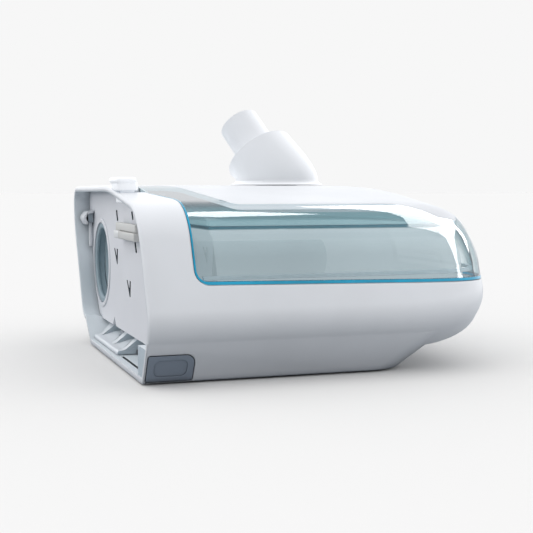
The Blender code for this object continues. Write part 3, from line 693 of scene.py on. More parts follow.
def edge_glow(name, colour):
    """Cut edge of the tinted lid, where the wall gathers its colour, with a faint painted glow."""
    material, graph = new_material(name)
    flow = graph.spread(graph.noise(60, 2), 0.3, 0.7, 0.85, 1.12)
    tone = graph.add("ShaderNodeHueSaturation", Color=(*colour, 1))
    graph.set(tone, "Value", flow)
    shader = graph.add("ShaderNodeBsdfPrincipled")
    graph.set(shader, "Base Color", tone.outputs[0])
    graph.set(shader, "Roughness", 0.12)
    graph.set(shader, "Emission Color", tone.outputs[0])
    # Painted glow: a faint emission of the edge colour.
    graph.set(shader, "Emission Strength", 0.12)
    graph.set(shader, "Normal", graph.bump(graph.noise(900, 1), 0.05, 0.0001, 0.0003))
    graph.output(shader.outputs[0])
    return material


def rubber(name, colour):
    material, graph = new_material(name)
    dust = graph.spread(graph.noise(400, 4), 0.4, 0.8, 0.0, 0.12)
    tone = graph.blend(dust, colour, tuple(min(1.0, channel * 2.2 + 0.03) for channel in colour))
    shader = graph.add("ShaderNodeBsdfPrincipled")
    graph.set(shader, "Base Color", tone)
    graph.set(shader, "Roughness", graph.spread(graph.noise(250, 3), 0.3, 0.7, 0.55, 0.75))
    graph.set(shader, "Normal", graph.bump(graph.noise(1800, 3), 0.35, 0.0001, 0.0003))
    graph.output(shader.outputs[0])
    return material


def metal(name, colour, roughness, stretch=(1, 60, 1), scale=120):
    """Brushed metal: streaks along one direction in roughness and bump."""
    material, graph = new_material(name)
    mapping = graph.add("ShaderNodeMapping", Scale=stretch, Vector=graph.place())
    streak = graph.noise(scale, 4, mapping.outputs[0])
    cloud = graph.spread(graph.noise(35, 3), 0.3, 0.7)
    shader = graph.add("ShaderNodeBsdfPrincipled", Metallic=1.0)
    graph.set(shader, "Base Color", graph.blend(cloud, tuple(c * 0.86 for c in colour), colour))
    graph.set(shader, "Roughness", graph.spread(streak, 0.3, 0.7, roughness - 0.08, roughness + 0.12))
    graph.set(shader, "Normal", graph.bump(streak, 0.15, 0.00008, 0.0002))
    graph.output(shader.outputs[0])
    return material


def board_finish(name):
    """Circuit board: solder mask with lighter copper runs under it."""
    material, graph = new_material(name)
    cells = graph.add("ShaderNodeTexBrick", Vector=graph.place(), Scale=170.0)
    graph.set(cells, "Color1", (0.02, 0.16, 0.07, 1))
    graph.set(cells, "Color2", (0.025, 0.20, 0.09, 1))
    graph.set(cells, "Mortar", (0.10, 0.34, 0.15, 1))
    graph.set(cells, "Mortar Size", 0.03)
    shader = graph.add("ShaderNodeBsdfPrincipled", Roughness=0.3)
    graph.set(shader, "Base Color", cells.outputs[0])
    graph.set(shader, "Normal", graph.bump(cells.outputs[1], 0.2, 0.00005, 0.0003))
    graph.output(shader.outputs[0])
    return material


WHITE = plastic("white_shell", (0.81, 0.82, 0.84), 0.32, 0.05, 0.0014, (0.60, 0.63, 0.67), coat=0.2)
# Painted glow: the latch nub emits its own colour.
WHITE_NUB_PAINTED_GLOW = plastic("white_nub_painted_glow", (0.81, 0.82, 0.84), 0.32, 0.05, shade=(0.66, 0.69, 0.73), inner=0.36)
WHITE_LID = plastic(
    "white_lid", (0.76, 0.77, 0.79), 0.42, 0.05, shade=(0.60, 0.63, 0.67), leak=0.6, sheen=0.2
)
# Painted glow: the lid rim emits its own colour.
LID_RIM_PAINTED_GLOW = plastic("white_lid_rim_painted_glow", (0.80, 0.82, 0.84), 0.4, 0.05, shade=(0.74, 0.76, 0.79), inner=0.42)
# Painted glow: the outlet emits a little of its own colour, more at its turned-away sides as a painted
# rim light.
WHITE_OUTLET_PAINTED_RIM_GLOW = plastic("white_outlet_painted_rim_glow", (0.81, 0.82, 0.84), 0.32, 0.05, coat=0.2, inner=0.02, side=0.26)
# Painted shade: a darker, bluer white for the inner side of the casing wall.
WHITE_INSIDE_PAINTED_SHADE = plastic("white_inside_painted_shade", (0.74, 0.79, 0.82), 0.45, 0.2)
PANEL = plastic("panel_grey_white", (0.80, 0.80, 0.825), 0.42, 0.25, shade=(0.50, 0.53, 0.57))
# Painted shade: near black for the floor groove and the cut sides of the panel slots.
DOCK_PAINTED_SHADE = plastic("dock_painted_shade", (0.07, 0.085, 0.10), 0.5, 0.4)
RAMP = plastic("ramp_light_grey", (0.74, 0.77, 0.80), 0.42, 0.3, shade=(0.40, 0.44, 0.48))
# Painted shade: a darker copy of the ramp grey for the ramp fronts, the button housing and the hook
# hollow.
RAMP_PAINTED_SHADE = plastic("ramp_face_painted_shade", (0.50, 0.57, 0.62), 0.5, 0.6)
BUTTON = plastic("button_grey", (0.30, 0.345, 0.41), 0.40, 0.5, shade=(0.10, 0.115, 0.14))
CONNECTOR = plastic("connector_white", (0.84, 0.84, 0.83), 0.35, 0.15)
CONNECTOR_BEIGE = plastic("connector_beige", (0.66, 0.65, 0.62), 0.4, 0.2)
PORT_DARK = plastic("port_blue_grey", (0.50, 0.60, 0.64), 0.35, 0.15, shade=(0.34, 0.42, 0.46))
PORT_SEAL = rubber("port_seal_grey", (0.30, 0.38, 0.42))
CRADLE = plastic("cradle_grey", (0.60, 0.65, 0.68), 0.4, 0.2)
BASE_GREY = plastic("base_grey", (0.30, 0.32, 0.35), 0.5, 0.6)
LINER = plastic("liner_grey", (0.84, 0.88, 0.90), 0.4, 0.2, shade=(0.80, 0.85, 0.87), leak=0.6)
INSULATOR = plastic("insulator_board", (0.70, 0.66, 0.58), 0.8, 1.0)
CABLE = plastic("cable_sheath", (0.03, 0.03, 0.035), 0.4, 0.2)
WINDOW = clear("window_clear", (0.965, 0.985, 0.99), (0.03, 0.24, 0.30), 1.3, rim=(0.45, 0.78))
WINDOW_EDGE = edge_glow("window_edge_blue", (0.0, 0.31, 0.50))
EDGE_PALE = plastic("window_edge_pale", (0.50, 0.60, 0.63), 0.3, 0.1)
# The tank and its lid carry a painted glow, the haze share and colour, standing in for light scattered
# in their milky walls.
TANK = clear(
    "tank_clear", (0.96, 0.975, 0.98), (0.40, 0.60, 0.66), 0.9, 0.5, (0.42, 0.49, 0.52), (0.5, 1.0)
)
TANK_LID = clear(
    "tank_lid_clear", (0.82, 0.92, 0.94), (0.30, 0.55, 0.60), 0.9, 0.35, (0.20, 0.36, 0.40), (0.5, 1.0)
)
DUCT = plastic("duct_pale", (0.56, 0.64, 0.67), 0.25, 0.1)
BLUE_RUBBER = rubber("seal_blue", (0.035, 0.16, 0.21))
GASKET = rubber("lid_seal_milky", (0.52, 0.60, 0.63))
DARK_RUBBER = rubber("pad_dark", (0.05, 0.055, 0.06))
STEEL = metal("brushed_steel", (0.62, 0.63, 0.65), 0.28)
SPRING_STEEL = metal("spring_steel", (0.56, 0.57, 0.60), 0.24, (1, 1, 1), 500)
CONTACT = metal("contact_plating", (0.83, 0.62, 0.28), 0.22, (1, 1, 1), 300)
BOARD = board_finish("circuit_board_mask")


# ---------------------------------------------------------------- finishing pieces


def dress(obj, finish, body, *nodes, sharp=32.0):
    """Give a piece its finish and shading, and let it stand for CAD nodes on a body."""
    obj.data.materials.clear()
    obj.data.materials.append(finish)
    obj.data.shade_smooth()
    obj.data.set_sharp_from_angle(angle=math.radians(sharp))
    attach(obj, body)
    if nodes:
        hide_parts(*nodes)
    return obj


def paint(obj, finish, wanted):
    """Another finish on the faces for which wanted(centre in mm, normal) is true."""
    obj.data.materials.append(finish)
    index = len(obj.data.materials) - 1
    for face in obj.data.polygons:
        if wanted((Vector(face.center) - ORIGIN) / MM, face.normal):
            face.material_index = index


# ---------------------------------------------------------------- casing pieces


def button_corners(grow=0.0):
    return inset([(1.2, 1.4, 0.8), (21.4, 1.4, 0.8), (21.4, 13.2, 4.2), (1.2, 13.2, 0.8)], -grow)


def make_casing():
    casing = casing_form("casing", 0, FOOT_BOTTOM, starts=RIM, edge=0.8)
    flare = [(-5, 0.2), (0, 0.2), (0.2, 0.6), (6.0, 0.6), (7.0, 0.0)]
    cut(casing, casing_form("cavity", WALL, DOCK_FLOOR, -5, flare))
    underside = foot("underside", WALL + 0.4, -2, 5)
    cut(casing, common(underside, half(x0=BAY_START)))
    cut(casing, slab("floor_groove", rectangle(3.4, 16, 4.8, 62, 0.6), 2.0, 8))
    housing = casing_form("housing", 0.4, FOOT_BOTTOM + 0.2)
    join(casing, common(housing, space("housing_box", (0.4, -30, 0), (24, 9.8, 15.8))))
    cut(casing, slab("button_pocket", button_corners(0.4), -30, 7.4, "Y"))
    cut(casing, space("link_slot", (LINK_X - 2.2, 7, 3.2), (LINK_X + 2.2, 11, 5.6)))
    cut(casing, lid_region(GAP), hinge_relief())
    for barrel, low, high in knuckles("casing_knuckle", 0):
        web = space("web", (low, 176.4, 62), (high, 179.4, 69.5))
        join(casing, join(barrel, web))
    cut(casing, hinge_bore())
    cut(casing, slab("latch_slot", rectangle(1.6, 50.6, 14.0, 65.4, 1.2), 70, 95))
    dress(casing, WHITE, "base", "outer_casing")
    # Painted shade: a darker, bluer white on the inner side of the wall.
    paint(casing, WHITE_INSIDE_PAINTED_SHADE, faces_inwards)
    # Painted shade: near black in the floor groove.
    paint(casing, DOCK_PAINTED_SHADE, in_floor_groove)
    # Painted shade: darker grey on the end and top of the button housing.
    paint(casing, RAMP_PAINTED_SHADE, beside_button)
    return casing


def faces_inwards(centre, normal):
    """True on the inner side of the casing wall."""
    return (MIDDLE_Y - centre.y) * normal.y + (MIDDLE_Z - centre.z) * normal.z > 8 and centre.z > 1.5


def beside_button(centre, normal):
    """True on the end and the top of the button housing."""
    end = normal.x < -0.8 and 0.2 < centre.x < 1.2 and centre.z < 15.9 and centre.y < 10.2
    top = normal.z > 0.8 and 0.3 < centre.x < 24.2 and 15.6 < centre.z < 16 and 3 < centre.y < 10
    return end or top


def in_floor_groove(centre, normal):
    """True inside the groove of the docking floor."""
    return 3.3 < centre.x < 4.9 and 16 < centre.y < 62 and 1.9 < centre.z < 2.95


def in_panel_slot(centre, normal):
    """True on the cut sides of the slots and snap fingers of the panel."""
    return abs(normal.x) < 0.3 and 45 < centre.y < 110 and 25 < centre.z < 73


def clip_corners(low, high, top):
    """V-shaped slot around a snap finger of the panel."""
    return [
        (low, top, 0),
        (low + 1.0, top - 7.8, 0.4),
        (low + 2.8, top - 7.8, 0.4),
        (high, top, 0),
        (high - 2.6, top, 0),
        (low + 3.6, top - 4.0, 0.5),
        (low + 2.6, top, 0),
    ]


def make_panel():
    panel = casing_form("dock_panel_face", WALL + GAP, DOCK_FLOOR + GAP)
    centre = (PORT_Y, PORT_Z)
    blank = space("blank", (PANEL_X, -FAR, PANEL_BOTTOM), (PANEL_X + WALL, FAR, FAR))
    rim = turned(
        "port_rim", band(12, PORT_RADIUS + 2.2, -0.6, 0.6, 0.5), (PANEL_X, *centre), "X", 96
    )
    common(panel, join(blank, rim))
    cut(panel, rod((0, *centre), (30, *centre), PORT_RADIUS, 96))
    cut(panel, space("harness_hole", (5, 52, 59), (20, 58, 64)))
    cut(panel, space("latch_notch", (5, 51.4, 74.9), (20, 66, 95)))
    cut(panel, space("housing_notch", (5, -30, 5), (20, 10.1, 16.1)))
    cut(panel, slab("tooth_window", [(100.0, 10, 0), (114.0, 10, 0), (105.0, 17.2, 0.8)], 5, 20, "X"))
    for y, low, high in ((96.2, 66.7, 72.2), (59.0, 68.2, 72.2), (51.9, 53, 58)):
        corners = [(y - 3.1, low, 0.7), (y + 0.3, low, 0.7), (y + 3.1, high, 0.7), (y - 0.3, high, 0.7)]
        cut(panel, slab("slot", corners, 5, 20, "X"))
    for low, high, top in ((95.0, 104.8, 52.6), (63.9, 73.7, 38.7)):
        cut(panel, slab("clip_slot", clip_corners(low, high, top), 5, 20, "X"))
    shelf = block("spring_shelf", (PANEL_X + 1, 58.5, 72.4), (21.2, 64.5, 74.4), 0.3)
    join(panel, shelf, block("spring_rib", (18.9, 58.6, 74.0), (21.1, 64.4, 79.2), 0.3))
    dress(panel, PANEL, "base", "dock_panel")
    # Painted shade: near black on the cut sides of the panel slots.
    paint(panel, DOCK_PAINTED_SHADE, in_panel_slot)
    return panel


def make_hook():
    outer = [(8.4, 70.6, 0), (4.9, 70.2, 2.4), (2.4, 66.8, 2.4), (4.3, 62.8, 0.4)]
    inner = [(5.3, 63.4, 0.3), (3.8, 66.8, 1.6), (5.4, 69.0, 1.6), (8.4, 69.4, 0)]
    hook = slab("cup_hook", outer + inner, 161.4, 175.2, "Y")
    middle = [(8.4, 64.2, 0), (4.6, 64.6, 0.8), (4.6, 69.6, 0.8), (8.4, 69.9, 0)]
    core = slab("core", middle, 163.6, 174, "Y")
    join(hook, core, block("stalk", (6.6, 166.4, 50.5), (8.3, 168.8, 66), 0.4))
    dress(hook, WHITE, "base", "dock_hook")
    # Painted shade on the front of the hook's core, in its hollow.
    paint(hook, RAMP_PAINTED_SHADE, lambda centre, normal: normal.y < -0.8 and 163 < centre.y < 164)
    return hook


def ramp_corners(height, inner=2.4):
    """Side view of the ramp: a rolled nose and a top that rises by height in an S."""
    top = []
    for k in range(19):
        share = k / 18
        rise = share * share * (3 - 2 * share)
        top.append((4.6 + 11.0 * share, 5.2 + height * rise, 0))
    return [(inner, 3.0, 0.5), (25.5, 3.0, 0), (25.5, 5.2 + height, 0)] + top[::-1] + [(inner, 5.2, 1.2)]


def make_ramp():
    ramp = slab("dock_ramp_top", ramp_corners(2.2), RAMP_START, 170, "Y")
    for low, high in RAMP_RIBS:
        join(ramp, slab("rib", ramp_corners(6.4, 2.6), low, high, "Y"))
    common(ramp, casing_form("ramp_limit", WALL + GAP, DOCK_FLOOR + GAP))
    cut(ramp, space("link_channel", (LINK_X - 2.2, 20, 0), (LINK_X + 2.2, 112, 5.4)))
    cut(ramp, space("tooth_slot", (LINK_X - 2.2, 99.6, 0), (LINK_X + 2.2, 111, 20)))
    dress(ramp, RAMP, "base", "dock_ramp")
    # Painted shade on the front faces of the ramp.
    paint(ramp, RAMP_PAINTED_SHADE, lambda centre, normal: normal.y < -0.8)
    return ramp


def make_port():
    profile = [(21.5, 0, 0.3), (21.5, 5, 0.3), (19.6, 5, 0.3), (19.6, 2.4, 0.5), (18.6, 1.6, 0.4)]
    profile += [(18.6, 0.6, 0.3), (19.4, 0, 0.3)]
    seal = turned("port_seal", profile, (PANEL_X, PORT_Y, PORT_Z), "X", 96)
    dress(seal, PORT_SEAL, "base", "inlet_seal")
    profile = [(20.6, 0, 0.3), (20.6, 12.6, 1.2), (10.5, 12.6, 0.8), (10.5, 15.3, 0.3)]
    profile += [(9.0, 15.3, 0.3), (9.0, 11, 0.8), (18.8, 11, 1.2), (18.8, 0, 0.3)]
    duct = turned("port_duct", profile, (PANEL_X + 5.4, PORT_Y, PORT_Z), "X", 96)
    return dress(duct, PORT_DARK, "base", "inlet_duct")


def make_connector():
    back = PANEL_X - GAP
    lower = block("connector_block", (4.0, 34, 59.0), (back, 81, 62.8), 0.5)
    join(lower, block("upper_tier", (4.8, 35, 62.4), (back - 0.1, 80, 66.6), 0.5))
    cut(lower, space("tier_groove", (3.5, 30, 62.7), (5.3, 69.5, 63.2)))
    cut(lower, space("cap_joint", (3.5, 69.1, 58), (4.4, 69.6, 67)))
    for y in (37, 52.5, 68):
        cut(lower, slab("contact_slot", rectangle(4.9, y, 7.3, y + 6, 0.4), 56, 61.4))
    dress(lower, CONNECTOR, "base", "dock_connector")
    paint(lower, CONNECTOR_BEIGE, lambda centre, normal: centre.y < 69.2)
    return lower


def make_button():
    button = casing_form("button_cap", 0.05, FOOT_BOTTOM, edge=0.8)
    common(button, slab("button_form", button_corners(), -30, 4.0, "Y"))
    cut(button, space("button_hollow", (3.4, 0.4, 3.6), (19.2, 9, 11.0)))
    field = casing_form("button_field", -0.4, FOOT_BOTTOM - 0.5)
    cut(field, casing_form("field_floor", 0.4, FOOT_BOTTOM))
    common(field, slab("field_outline", rectangle(4.2, 3.6, 18.6, 11.0, 2.6), -30, 9, "Y"))
    cut(button, field)
    return dress(button, BUTTON, "release_button", "release_button")


# ---------------------------------------------------------------- lid pieces


def lid_shell(name):
    shell = pebble(name, 0)
    return cut(shell, pebble("lid_inside", WALL, ((-6.0, 0.0),)))


def make_window():
    whole = common(lid_shell("lid_window_pane"), lid_region())
    cut(whole, slab("top_opening", inset(TOP_PANEL, -0.15), 50, 120), hinge_relief())
    edge = whole.copy()
    edge.data = whole.data.copy()
    edge.name = "lid_window_edge"
    bpy.context.scene.collection.objects.link(edge)
    common(whole, lid_region(0, 0.75, 1.3))
    cut(edge, lid_region(0, 0.75, 1.3))
    keeper = pebble("keeper", 1)
    common(keeper, space("keeper_box", (22.6, 57.2, 75.9), (25.9, 64.4, 90)))
    join(whole, keeper)
    dress(edge, WINDOW_EDGE, "lid", "lid_window")
    paint(edge, EDGE_PALE, lambda centre, normal: centre.y > 44)
    return dress(whole, WINDOW, "lid", "lid_window")


def make_top():
    top = common(lid_shell("lid_top_cover"), lid_region())
    common(top, slab("top_outline", inset(TOP_PANEL, 0.1), 50, 120))
    cut(top, hinge_relief())
    for barrel, low, high in knuckles("lid_knuckle", 1):
        web = space("web", (low, 176.6, 70.5), (high, 180.4, 77))
        join(top, join(barrel, web))
    cut(top, hinge_bore())
    cut(top, rod((*ELBOW, 70), (*ELBOW, 95), 14, 72))
    dress(top, WHITE_LID, "lid", "lid_top")
    # Painted glow on the upright sides of the lid top.
    paint(top, LID_RIM_PAINTED_GLOW, lambda centre, normal: abs(normal.z) < 0.35 and 60 < centre.z and centre.y < 160)
    return top


def make_liner():
    liner = pebble("lid_liner_skin", WALL + GAP)
    cut(liner, pebble("liner_inside", WALL + GAP + 1.6, ((-6.0, 0.0),)))
    corners = [(42, 70, 6), (50, 19, 8), (134, 19, 30), (158, 70, 30), (152, 168, 20), (42, 168, 6)]
    common(liner, slab("liner_outline", corners, 60, 120))
    cut(liner, rod((*ELBOW, 70), (*ELBOW, 95), 18, 64))
    return dress(liner, LINER, "lid", "lid_liner")


def make_latch_nub():
    nub = slab("latch_nub", rectangle(-0.1, 49.4, 9.8, 65.8, 2.0), 82, 86.0, "Z", 0.4)
    cap = slab("nub_cap", rectangle(-1.0, 48.8, 9.2, 66.4, 2.4), 85.3, 88.2, "Z", 1.3)
    join(nub, cap)
    cut(nub, pebble("hood_skin", -GAP, ((-6.0, 0.0),)))
    stem = block("stem", (2.2, 55.2, 76.4), (9.2, 64.8, 85.5), 0.5)
    bar = block("bar", (2.4, 52.2, 76.5), (28.5, 55.6, 78.3), 0.3)
    hook = block("hook", (26.6, 52.4, 76.6), (28.6, 64.0, 78.2), 0.3)
    join(nub, stem, bar, hook)
    return dress(nub, WHITE_NUB_PAINTED_GLOW, "lid_latch", "lid_latch")


# ---------------------------------------------------------------- outlet


def hermite(start, start_slope, end, end_slope, share):
    square, cube = share**2, share**3
    return (
        start * (2 * cube - 3 * square + 1)
        + start_slope * (cube - 2 * square + share)
        + end * (3 * square - 2 * cube)
        + end_slope * (cube - square)
    )


def tube_path(extra=0.0, steps=20):
    start = Vector((*ELBOW, 79.5 - extra))
    lower = Vector((*ELBOW, 81.0))
    upper = TUBE_START + TUBE_DIRECTION * 12
    finish = TUBE_START + TUBE_DIRECTION * (TUBE_LENGTH + extra)
    rise, run = Vector((0, 0, 27)), TUBE_DIRECTION * 27
    bend = [hermite(lower, rise, upper, run, k / steps) for k in range(steps + 1)]
    return [start] + bend + [finish]


def elbow_rings(count=96, levels=26):
    """Rings from the round base to the slanted mouth, blended along smooth curves."""
    up = Vector((0, 0, 1))
    side = TUBE_DIRECTION.cross(up).normalized()
    crown = side.cross(TUBE_DIRECTION)
    mouth = TUBE_START + TUBE_DIRECTION * MOUTH_REACH
    rings = []
    for level in range(levels):
        share = level / (levels - 1)
        points = []
        for k in range(count):
            angle = 2 * math.pi * k / count
            cosine, sine = math.cos(angle), math.sin(angle)
            flat = Vector((side.x, side.y, 0)) * cosine + up.cross(side) * sine
            base = Vector((*ELBOW, ELBOW_DOME_Z)) + flat * ELBOW_DOME_RADIUS
            top = mouth + (side * cosine - crown * sine) * MOUTH_RADIUS
            rise = (top - base).length * 0.9
            points.append(hermite(base, up * rise, top, TUBE_DIRECTION * rise * 0.55, share))
        rings.append(points)
    return rings


def make_elbow():
    rings = elbow_rings()
    centre = Vector((*ELBOW, 0))
    flare = []
    for radius, height in ELBOW_FLARE:
        layer = []
        for point in rings[0]:
            flat = Vector((point.x, point.y, 0)) - centre
            layer.append(centre + flat.normalized() * radius + Vector((0, 0, height)))
        flare.append(layer)
    mouth = rings[-1]
    middle = sum(mouth, Vector()) / len(mouth)
    lip = []
    for share, lift in ((0.985, 0.25), (0.955, 0.4)):
        lip.append([middle.lerp(point, share) + TUBE_DIRECTION * lift for point in mouth])
    elbow = loft("elbow_dome", flare + rings + lip)
    cut(elbow, pipe("elbow_bore", tube_path(12), TUBE_RADIUS + GAP, 64))
    groove = turned("seal_groove", band(17.6, 20.6, 80, 86.4, 0), (*ELBOW, 0))
    cut(elbow, groove)
    return dress(elbow, WHITE_OUTLET_PAINTED_RIM_GLOW, "outlet", "outlet_elbow", sharp=38)


def make_tube():
    tube = pipe("outlet_tube_wall", tube_path(), TUBE_RADIUS, 72)
    cut(tube, pipe("tube_bore", tube_path(12), TUBE_RADIUS - TUBE_WALL, 72))
    return dress(tube, WHITE_OUTLET_PAINTED_RIM_GLOW, "outlet", "outlet_tube")


def make_elbow_seals():
    seal = turned("swivel_seal_ring", band(18.0, 20.2, 85.0, 86.1, 0.35), (*ELBOW, 0))
    dress(seal, DARK_RUBBER, "outlet", "swivel_seal")
    bush = turned("swivel_bush_ring", band(TUBE_RADIUS + 1.0, 13.6, 82.4, 84.5, 0.3), (*ELBOW, 0))
    dress(bush, BASE_GREY, "outlet", "swivel_bush")
    sleeve = turned("outlet_seal_sleeve", band(13.2, 17.4, 77.9, 81.0, 0.6), (*ELBOW, 0))
    return dress(sleeve, BLUE_RUBBER, "lid", "outlet_seal")


# ---------------------------------------------------------------- tank


def tank_form(name, depth, left, low, high):
    form = pebble(name, depth)
    return common(form, space("tank_part", (left, -FAR, low), (FAR, FAR, high)))


def make_tank():
    tank = tank_form("tank_walls", TANK_INSET, TANK_LEFT, TANK_BOTTOM, TANK_SPLIT - 1)
    flange = tank_form("flange", TANK_INSET - 2.2, TANK_LEFT - 1.5, TANK_SPLIT - 2, TANK_SPLIT)
    join(tank, flange)
    inner = tank_form(
        "tank_hollow", TANK_INSET + TANK_WALL, TANK_LEFT + TANK_WALL, TANK_BOTTOM + TANK_WALL, 90
    )
    cut(tank, inner)
    x, y = PLATE_CENTRE
    cut(tank, slab("floor_hole", rectangle(x - 38, y - 38, x + 38, y + 38, 14), 20, 35))
    cut(tank, rod((20, PORT_Y, PORT_Z), (40, PORT_Y, PORT_Z), 11.2, 64))
    return dress(tank, TANK, "tank", "water_tank")


def make_tank_lid():
    bottom = TANK_SPLIT + 1.8
    lid = tank_form("tank_lid_cover", TANK_INSET, TANK_LEFT, bottom + 1, 90)
    join(lid, tank_form("lid_flange", TANK_INSET - 2.2, TANK_LEFT - 1.5, bottom, bottom + 2.2))
    cut(lid, tank_form("lid_hollow", TANK_INSET + TANK_WALL, TANK_LEFT + TANK_WALL, 60, 90))
    cut(lid, rod((*ELBOW, 60), (*ELBOW, 90), 12.5, 64))
    return dress(lid, TANK_LID, "tank", "tank_lid")


def make_tank_fittings():
    low, high = TANK_SPLIT + GAP, TANK_SPLIT + 1.5
    seal = tank_form("tank_seal_bead", TANK_INSET - 1.8, TANK_LEFT - 1.1, low, high)
    cut(seal, tank_form("seal_hollow", TANK_INSET + 1.4, TANK_LEFT + 1.6, 60, 90))
    dress(seal, BLUE_RUBBER, "tank", "tank_seal")
    profile = [(11.6, 0, 0.3), (11.6, 1.6, 0.3), (10.6, 1.6, 0.2), (10.6, 100.4, 0.5)]
    profile += [(9.0, 100.4, 0.5), (9.0, 0, 0.3)]
    centre = (TANK_LEFT + TANK_WALL + GAP, PORT_Y, PORT_Z)
    duct = turned("tank_duct_tube", profile, centre, "X")
    return dress(duct, DUCT, "tank", "tank_duct")


# ---------------------------------------------------------------- small parts


def make_pads():
    for number in range(1, 5):
        low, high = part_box(f"foot_pad_{number}")
        x, y = ((low + high) / 2 - ORIGIN).xy / MM
        top = (high.z - low.z) / MM
        profile = [(6.0, top, 0.2), (6.0, 0.3, 0.9), (3.9, 0, 0.3), (3.6, 0.5, 0.2), (0.2, 0.5, 0)]
        profile += [(0.2, top, 0)]
        pad = turned(f"foot_pad_{number}_ribbed", profile, (x, y, 0), "Z", 48)
        join(pad, rod((x, y, 0.5), (x, y, top), 0.4, 16))
        dress(pad, DARK_RUBBER, "base", f"foot_pad_{number}")


def make_springs():
    for number in range(1, 4):
        low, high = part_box(f"heater_spring_{number}")
        x, y = ((low + high) / 2 - ORIGIN).xy / MM
        spring = coil(f"heater_spring_{number}_wire", (x, y, 16.9), (x, y, 20.8), 3.2, 0.5, 2.5)
        dress(spring, SPRING_STEEL, "base", f"heater_spring_{number}")
        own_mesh(spring)
    spring = coil("latch_spring_wire", (9.9, 61.5, 77.9), (18.4, 61.5, 77.9), 1.2, 0.25, 5)
    dress(spring, SPRING_STEEL, "base", "latch_spring")
    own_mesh(spring)
    spring = coil("button_spring_wire", (7.6, 1.2, 7.3), (7.6, 6.6, 7.3), 2.6, 0.4, 4)
    dress(spring, SPRING_STEEL, "base", "button_spring")
    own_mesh(spring)


CAD_FINISH = {
    "base_plate": BASE_GREY,
    "hinge_pin": STEEL,
    "heater_plate": STEEL,
    "heater_element": SPRING_STEEL,
    "temperature_sensor": SPRING_STEEL,
    "tank_base_plate": STEEL,
    "heater_insulator": INSULATOR,
    "circuit_board": BOARD,
    "wire_harness": CABLE,
    "tank_cradle": CRADLE,
    "dock_latch": BASE_GREY,
    "lid_gasket": GASKET,
}
CAD_FINISH.update({f"base_screw_{number}": STEEL for number in range(1, 5)})
CAD_FINISH.update({f"connector_contact_{number}": CONTACT for number in range(1, 4)})


def dress_cad_nodes():
    for name, finish in CAD_FINISH.items():
        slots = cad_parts[name].material_slots
        for slot in slots:
            slot.material = finish


# ---------------------------------------------------------------- studio


def make_floor():
    bm = bmesh.new()
    bmesh.ops.create_grid(bm, x_segments=1, y_segments=1, size=30000)
    floor = add_mesh("studio_floor", bm)
    floor.location.z = -0.0002
    material, graph = new_material("studio_floor_pale")
    camera_ray = graph.add("ShaderNodeLightPath").outputs["Is Camera Ray"]
    cloud = graph.spread(graph.noise(3, 3), 0.3, 0.7, 0.0, 1.0)
    seen = graph.blend(cloud, FLOOR_SEEN, tuple(channel * 1.004 for channel in FLOOR_SEEN))
    # Rays other than camera rays see a darker floor with a painted pool of light, lighter towards +X as
    # if more light fell there.
    east = graph.add("ShaderNodeSeparateXYZ", Vector=graph.place()).outputs[0]
    bounce_with_painted_light = graph.blend(graph.spread(east, 0.04, 0.16), (0.27, 0.29, 0.31), (0.60, 0.62, 0.64))
    tone = graph.blend(camera_ray, bounce_with_painted_light, seen)
    graph.output(graph.add("ShaderNodeBsdfDiffuse", Color=tone).outputs[0])
    floor.data.materials.append(material)


FLOOR_SEEN = (0.79, 0.777, 0.758)
BACKDROP = (0.93, 0.93, 0.93)
TOP_LIGHT = 1.03
LEVEL_LIGHT = 0.50
CAMERA_PLACE = Vector((-95.65, -440.65, 82.30))
CAMERA_TILT = 85.92
CAMERA_TURN = -18.93
CAMERA_LENS = 72.47
SOFTBOXES = [
    ("softbox_right", (0.74, 0.135, 0.77), (0.05, 0, 0.06), (1.1, 0.63), 14.0),
    ("softbox_low", (0.95, 0.25, 0.47), (0.05, 0, 0.06), (0.14, 0.34), 1.0),
    ("softbox_top", (0.22, 0.14, 0.95), (0, 0, 0.07), (0.22, 0.17), 0.75),
]


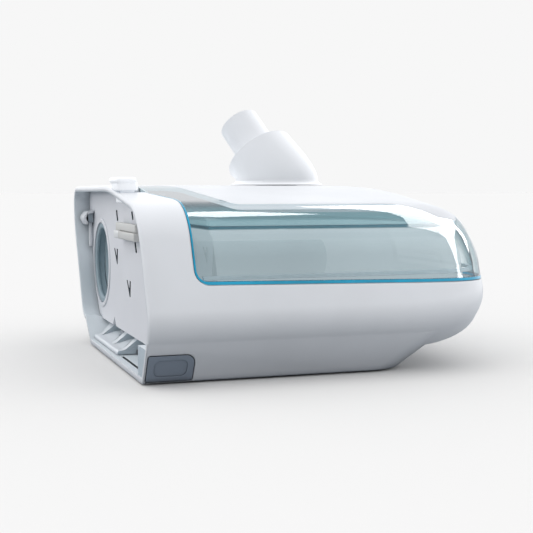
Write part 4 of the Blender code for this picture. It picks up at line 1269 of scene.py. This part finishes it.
def make_world():
    """Soft studio surroundings: brighter above, at both sides and behind, darker in front."""
    world = bpy.data.worlds.new("studio")
    bpy.context.scene.world = world
    world.use_nodes = True
    graph = Graph(world.node_tree)
    direction = graph.add("ShaderNodeTexCoord").outputs["Generated"]
    axes = graph.add("ShaderNodeSeparateXYZ", Vector=direction)
    east, north, up = axes.outputs
    light = graph.spread(up, 0.0, 1.0, LEVEL_LIGHT, TOP_LIGHT)
    for axis, side, gain in ((east, -1, 0.66), (east, 1, 0.60), (north, -1, -0.20), (north, 1, 0.60)):
        amount = graph.spread(axis, 0.0, side, 0.0, gain)
        light = graph.math("ADD", light, amount)
    tone = graph.add("ShaderNodeCombineColor")
    for socket, gain in (("Red", 0.985), ("Green", 1.0), ("Blue", 1.025)):
        graph.set(tone, socket, graph.math("MULTIPLY", light, gain))
    path = graph.add("ShaderNodeLightPath")
    shade = graph.blend(path.outputs["Is Camera Ray"], tone.outputs[0], BACKDROP)
    background = graph.add("ShaderNodeBackground", Color=shade)
    output = graph.add("ShaderNodeOutputWorld")
    graph.tree.links.new(background.outputs[0], output.inputs["Surface"])


def softbox(name, place, target, size, power, receivers):
    """Panel seen only in the reflections of the given pieces."""
    light = bpy.data.lights.new(name, "AREA")
    light.shape = "RECTANGLE"
    light.size, light.size_y = size
    light.energy = power
    light.spread = math.radians(140)
    lamp = bpy.data.objects.new(name, light)
    bpy.context.scene.collection.objects.link(lamp)
    lamp.location = place
    lamp.rotation_euler = (Vector(target) - Vector(place)).to_track_quat("-Z", "Y").to_euler()
    lamp.visible_diffuse = False
    lamp.visible_camera = False
    lamp.light_linking.receiver_collection = receivers


def make_camera():
    data = bpy.data.cameras.new("studio_camera")
    data.lens = CAMERA_LENS
    data.clip_start = 0.01
    camera = bpy.data.objects.new("studio_camera", data)
    bpy.context.scene.collection.objects.link(camera)
    camera.location = CAMERA_PLACE * MM + ORIGIN
    camera.rotation_euler = (math.radians(CAMERA_TILT), 0, math.radians(CAMERA_TURN))
    bpy.context.scene.camera = camera


def build():
    make_casing()
    make_panel()
    make_hook()
    make_ramp()
    make_port()
    make_connector()
    make_button()
    window = make_window()
    make_top()
    make_liner()
    make_latch_nub()
    make_elbow()
    make_tube()
    make_elbow_seals()
    make_tank()
    make_tank_lid()
    make_tank_fittings()
    make_pads()
    make_springs()
    dress_cad_nodes()
    make_floor()
    make_world()
    receivers = bpy.data.collections.new("softbox_receivers")
    receivers.objects.link(window)
    for name, place, target, size, power in SOFTBOXES:
        softbox(name, place, target, size, power, receivers)
    make_camera()
    bpy.context.scene.view_settings.view_transform = "Standard"


build()
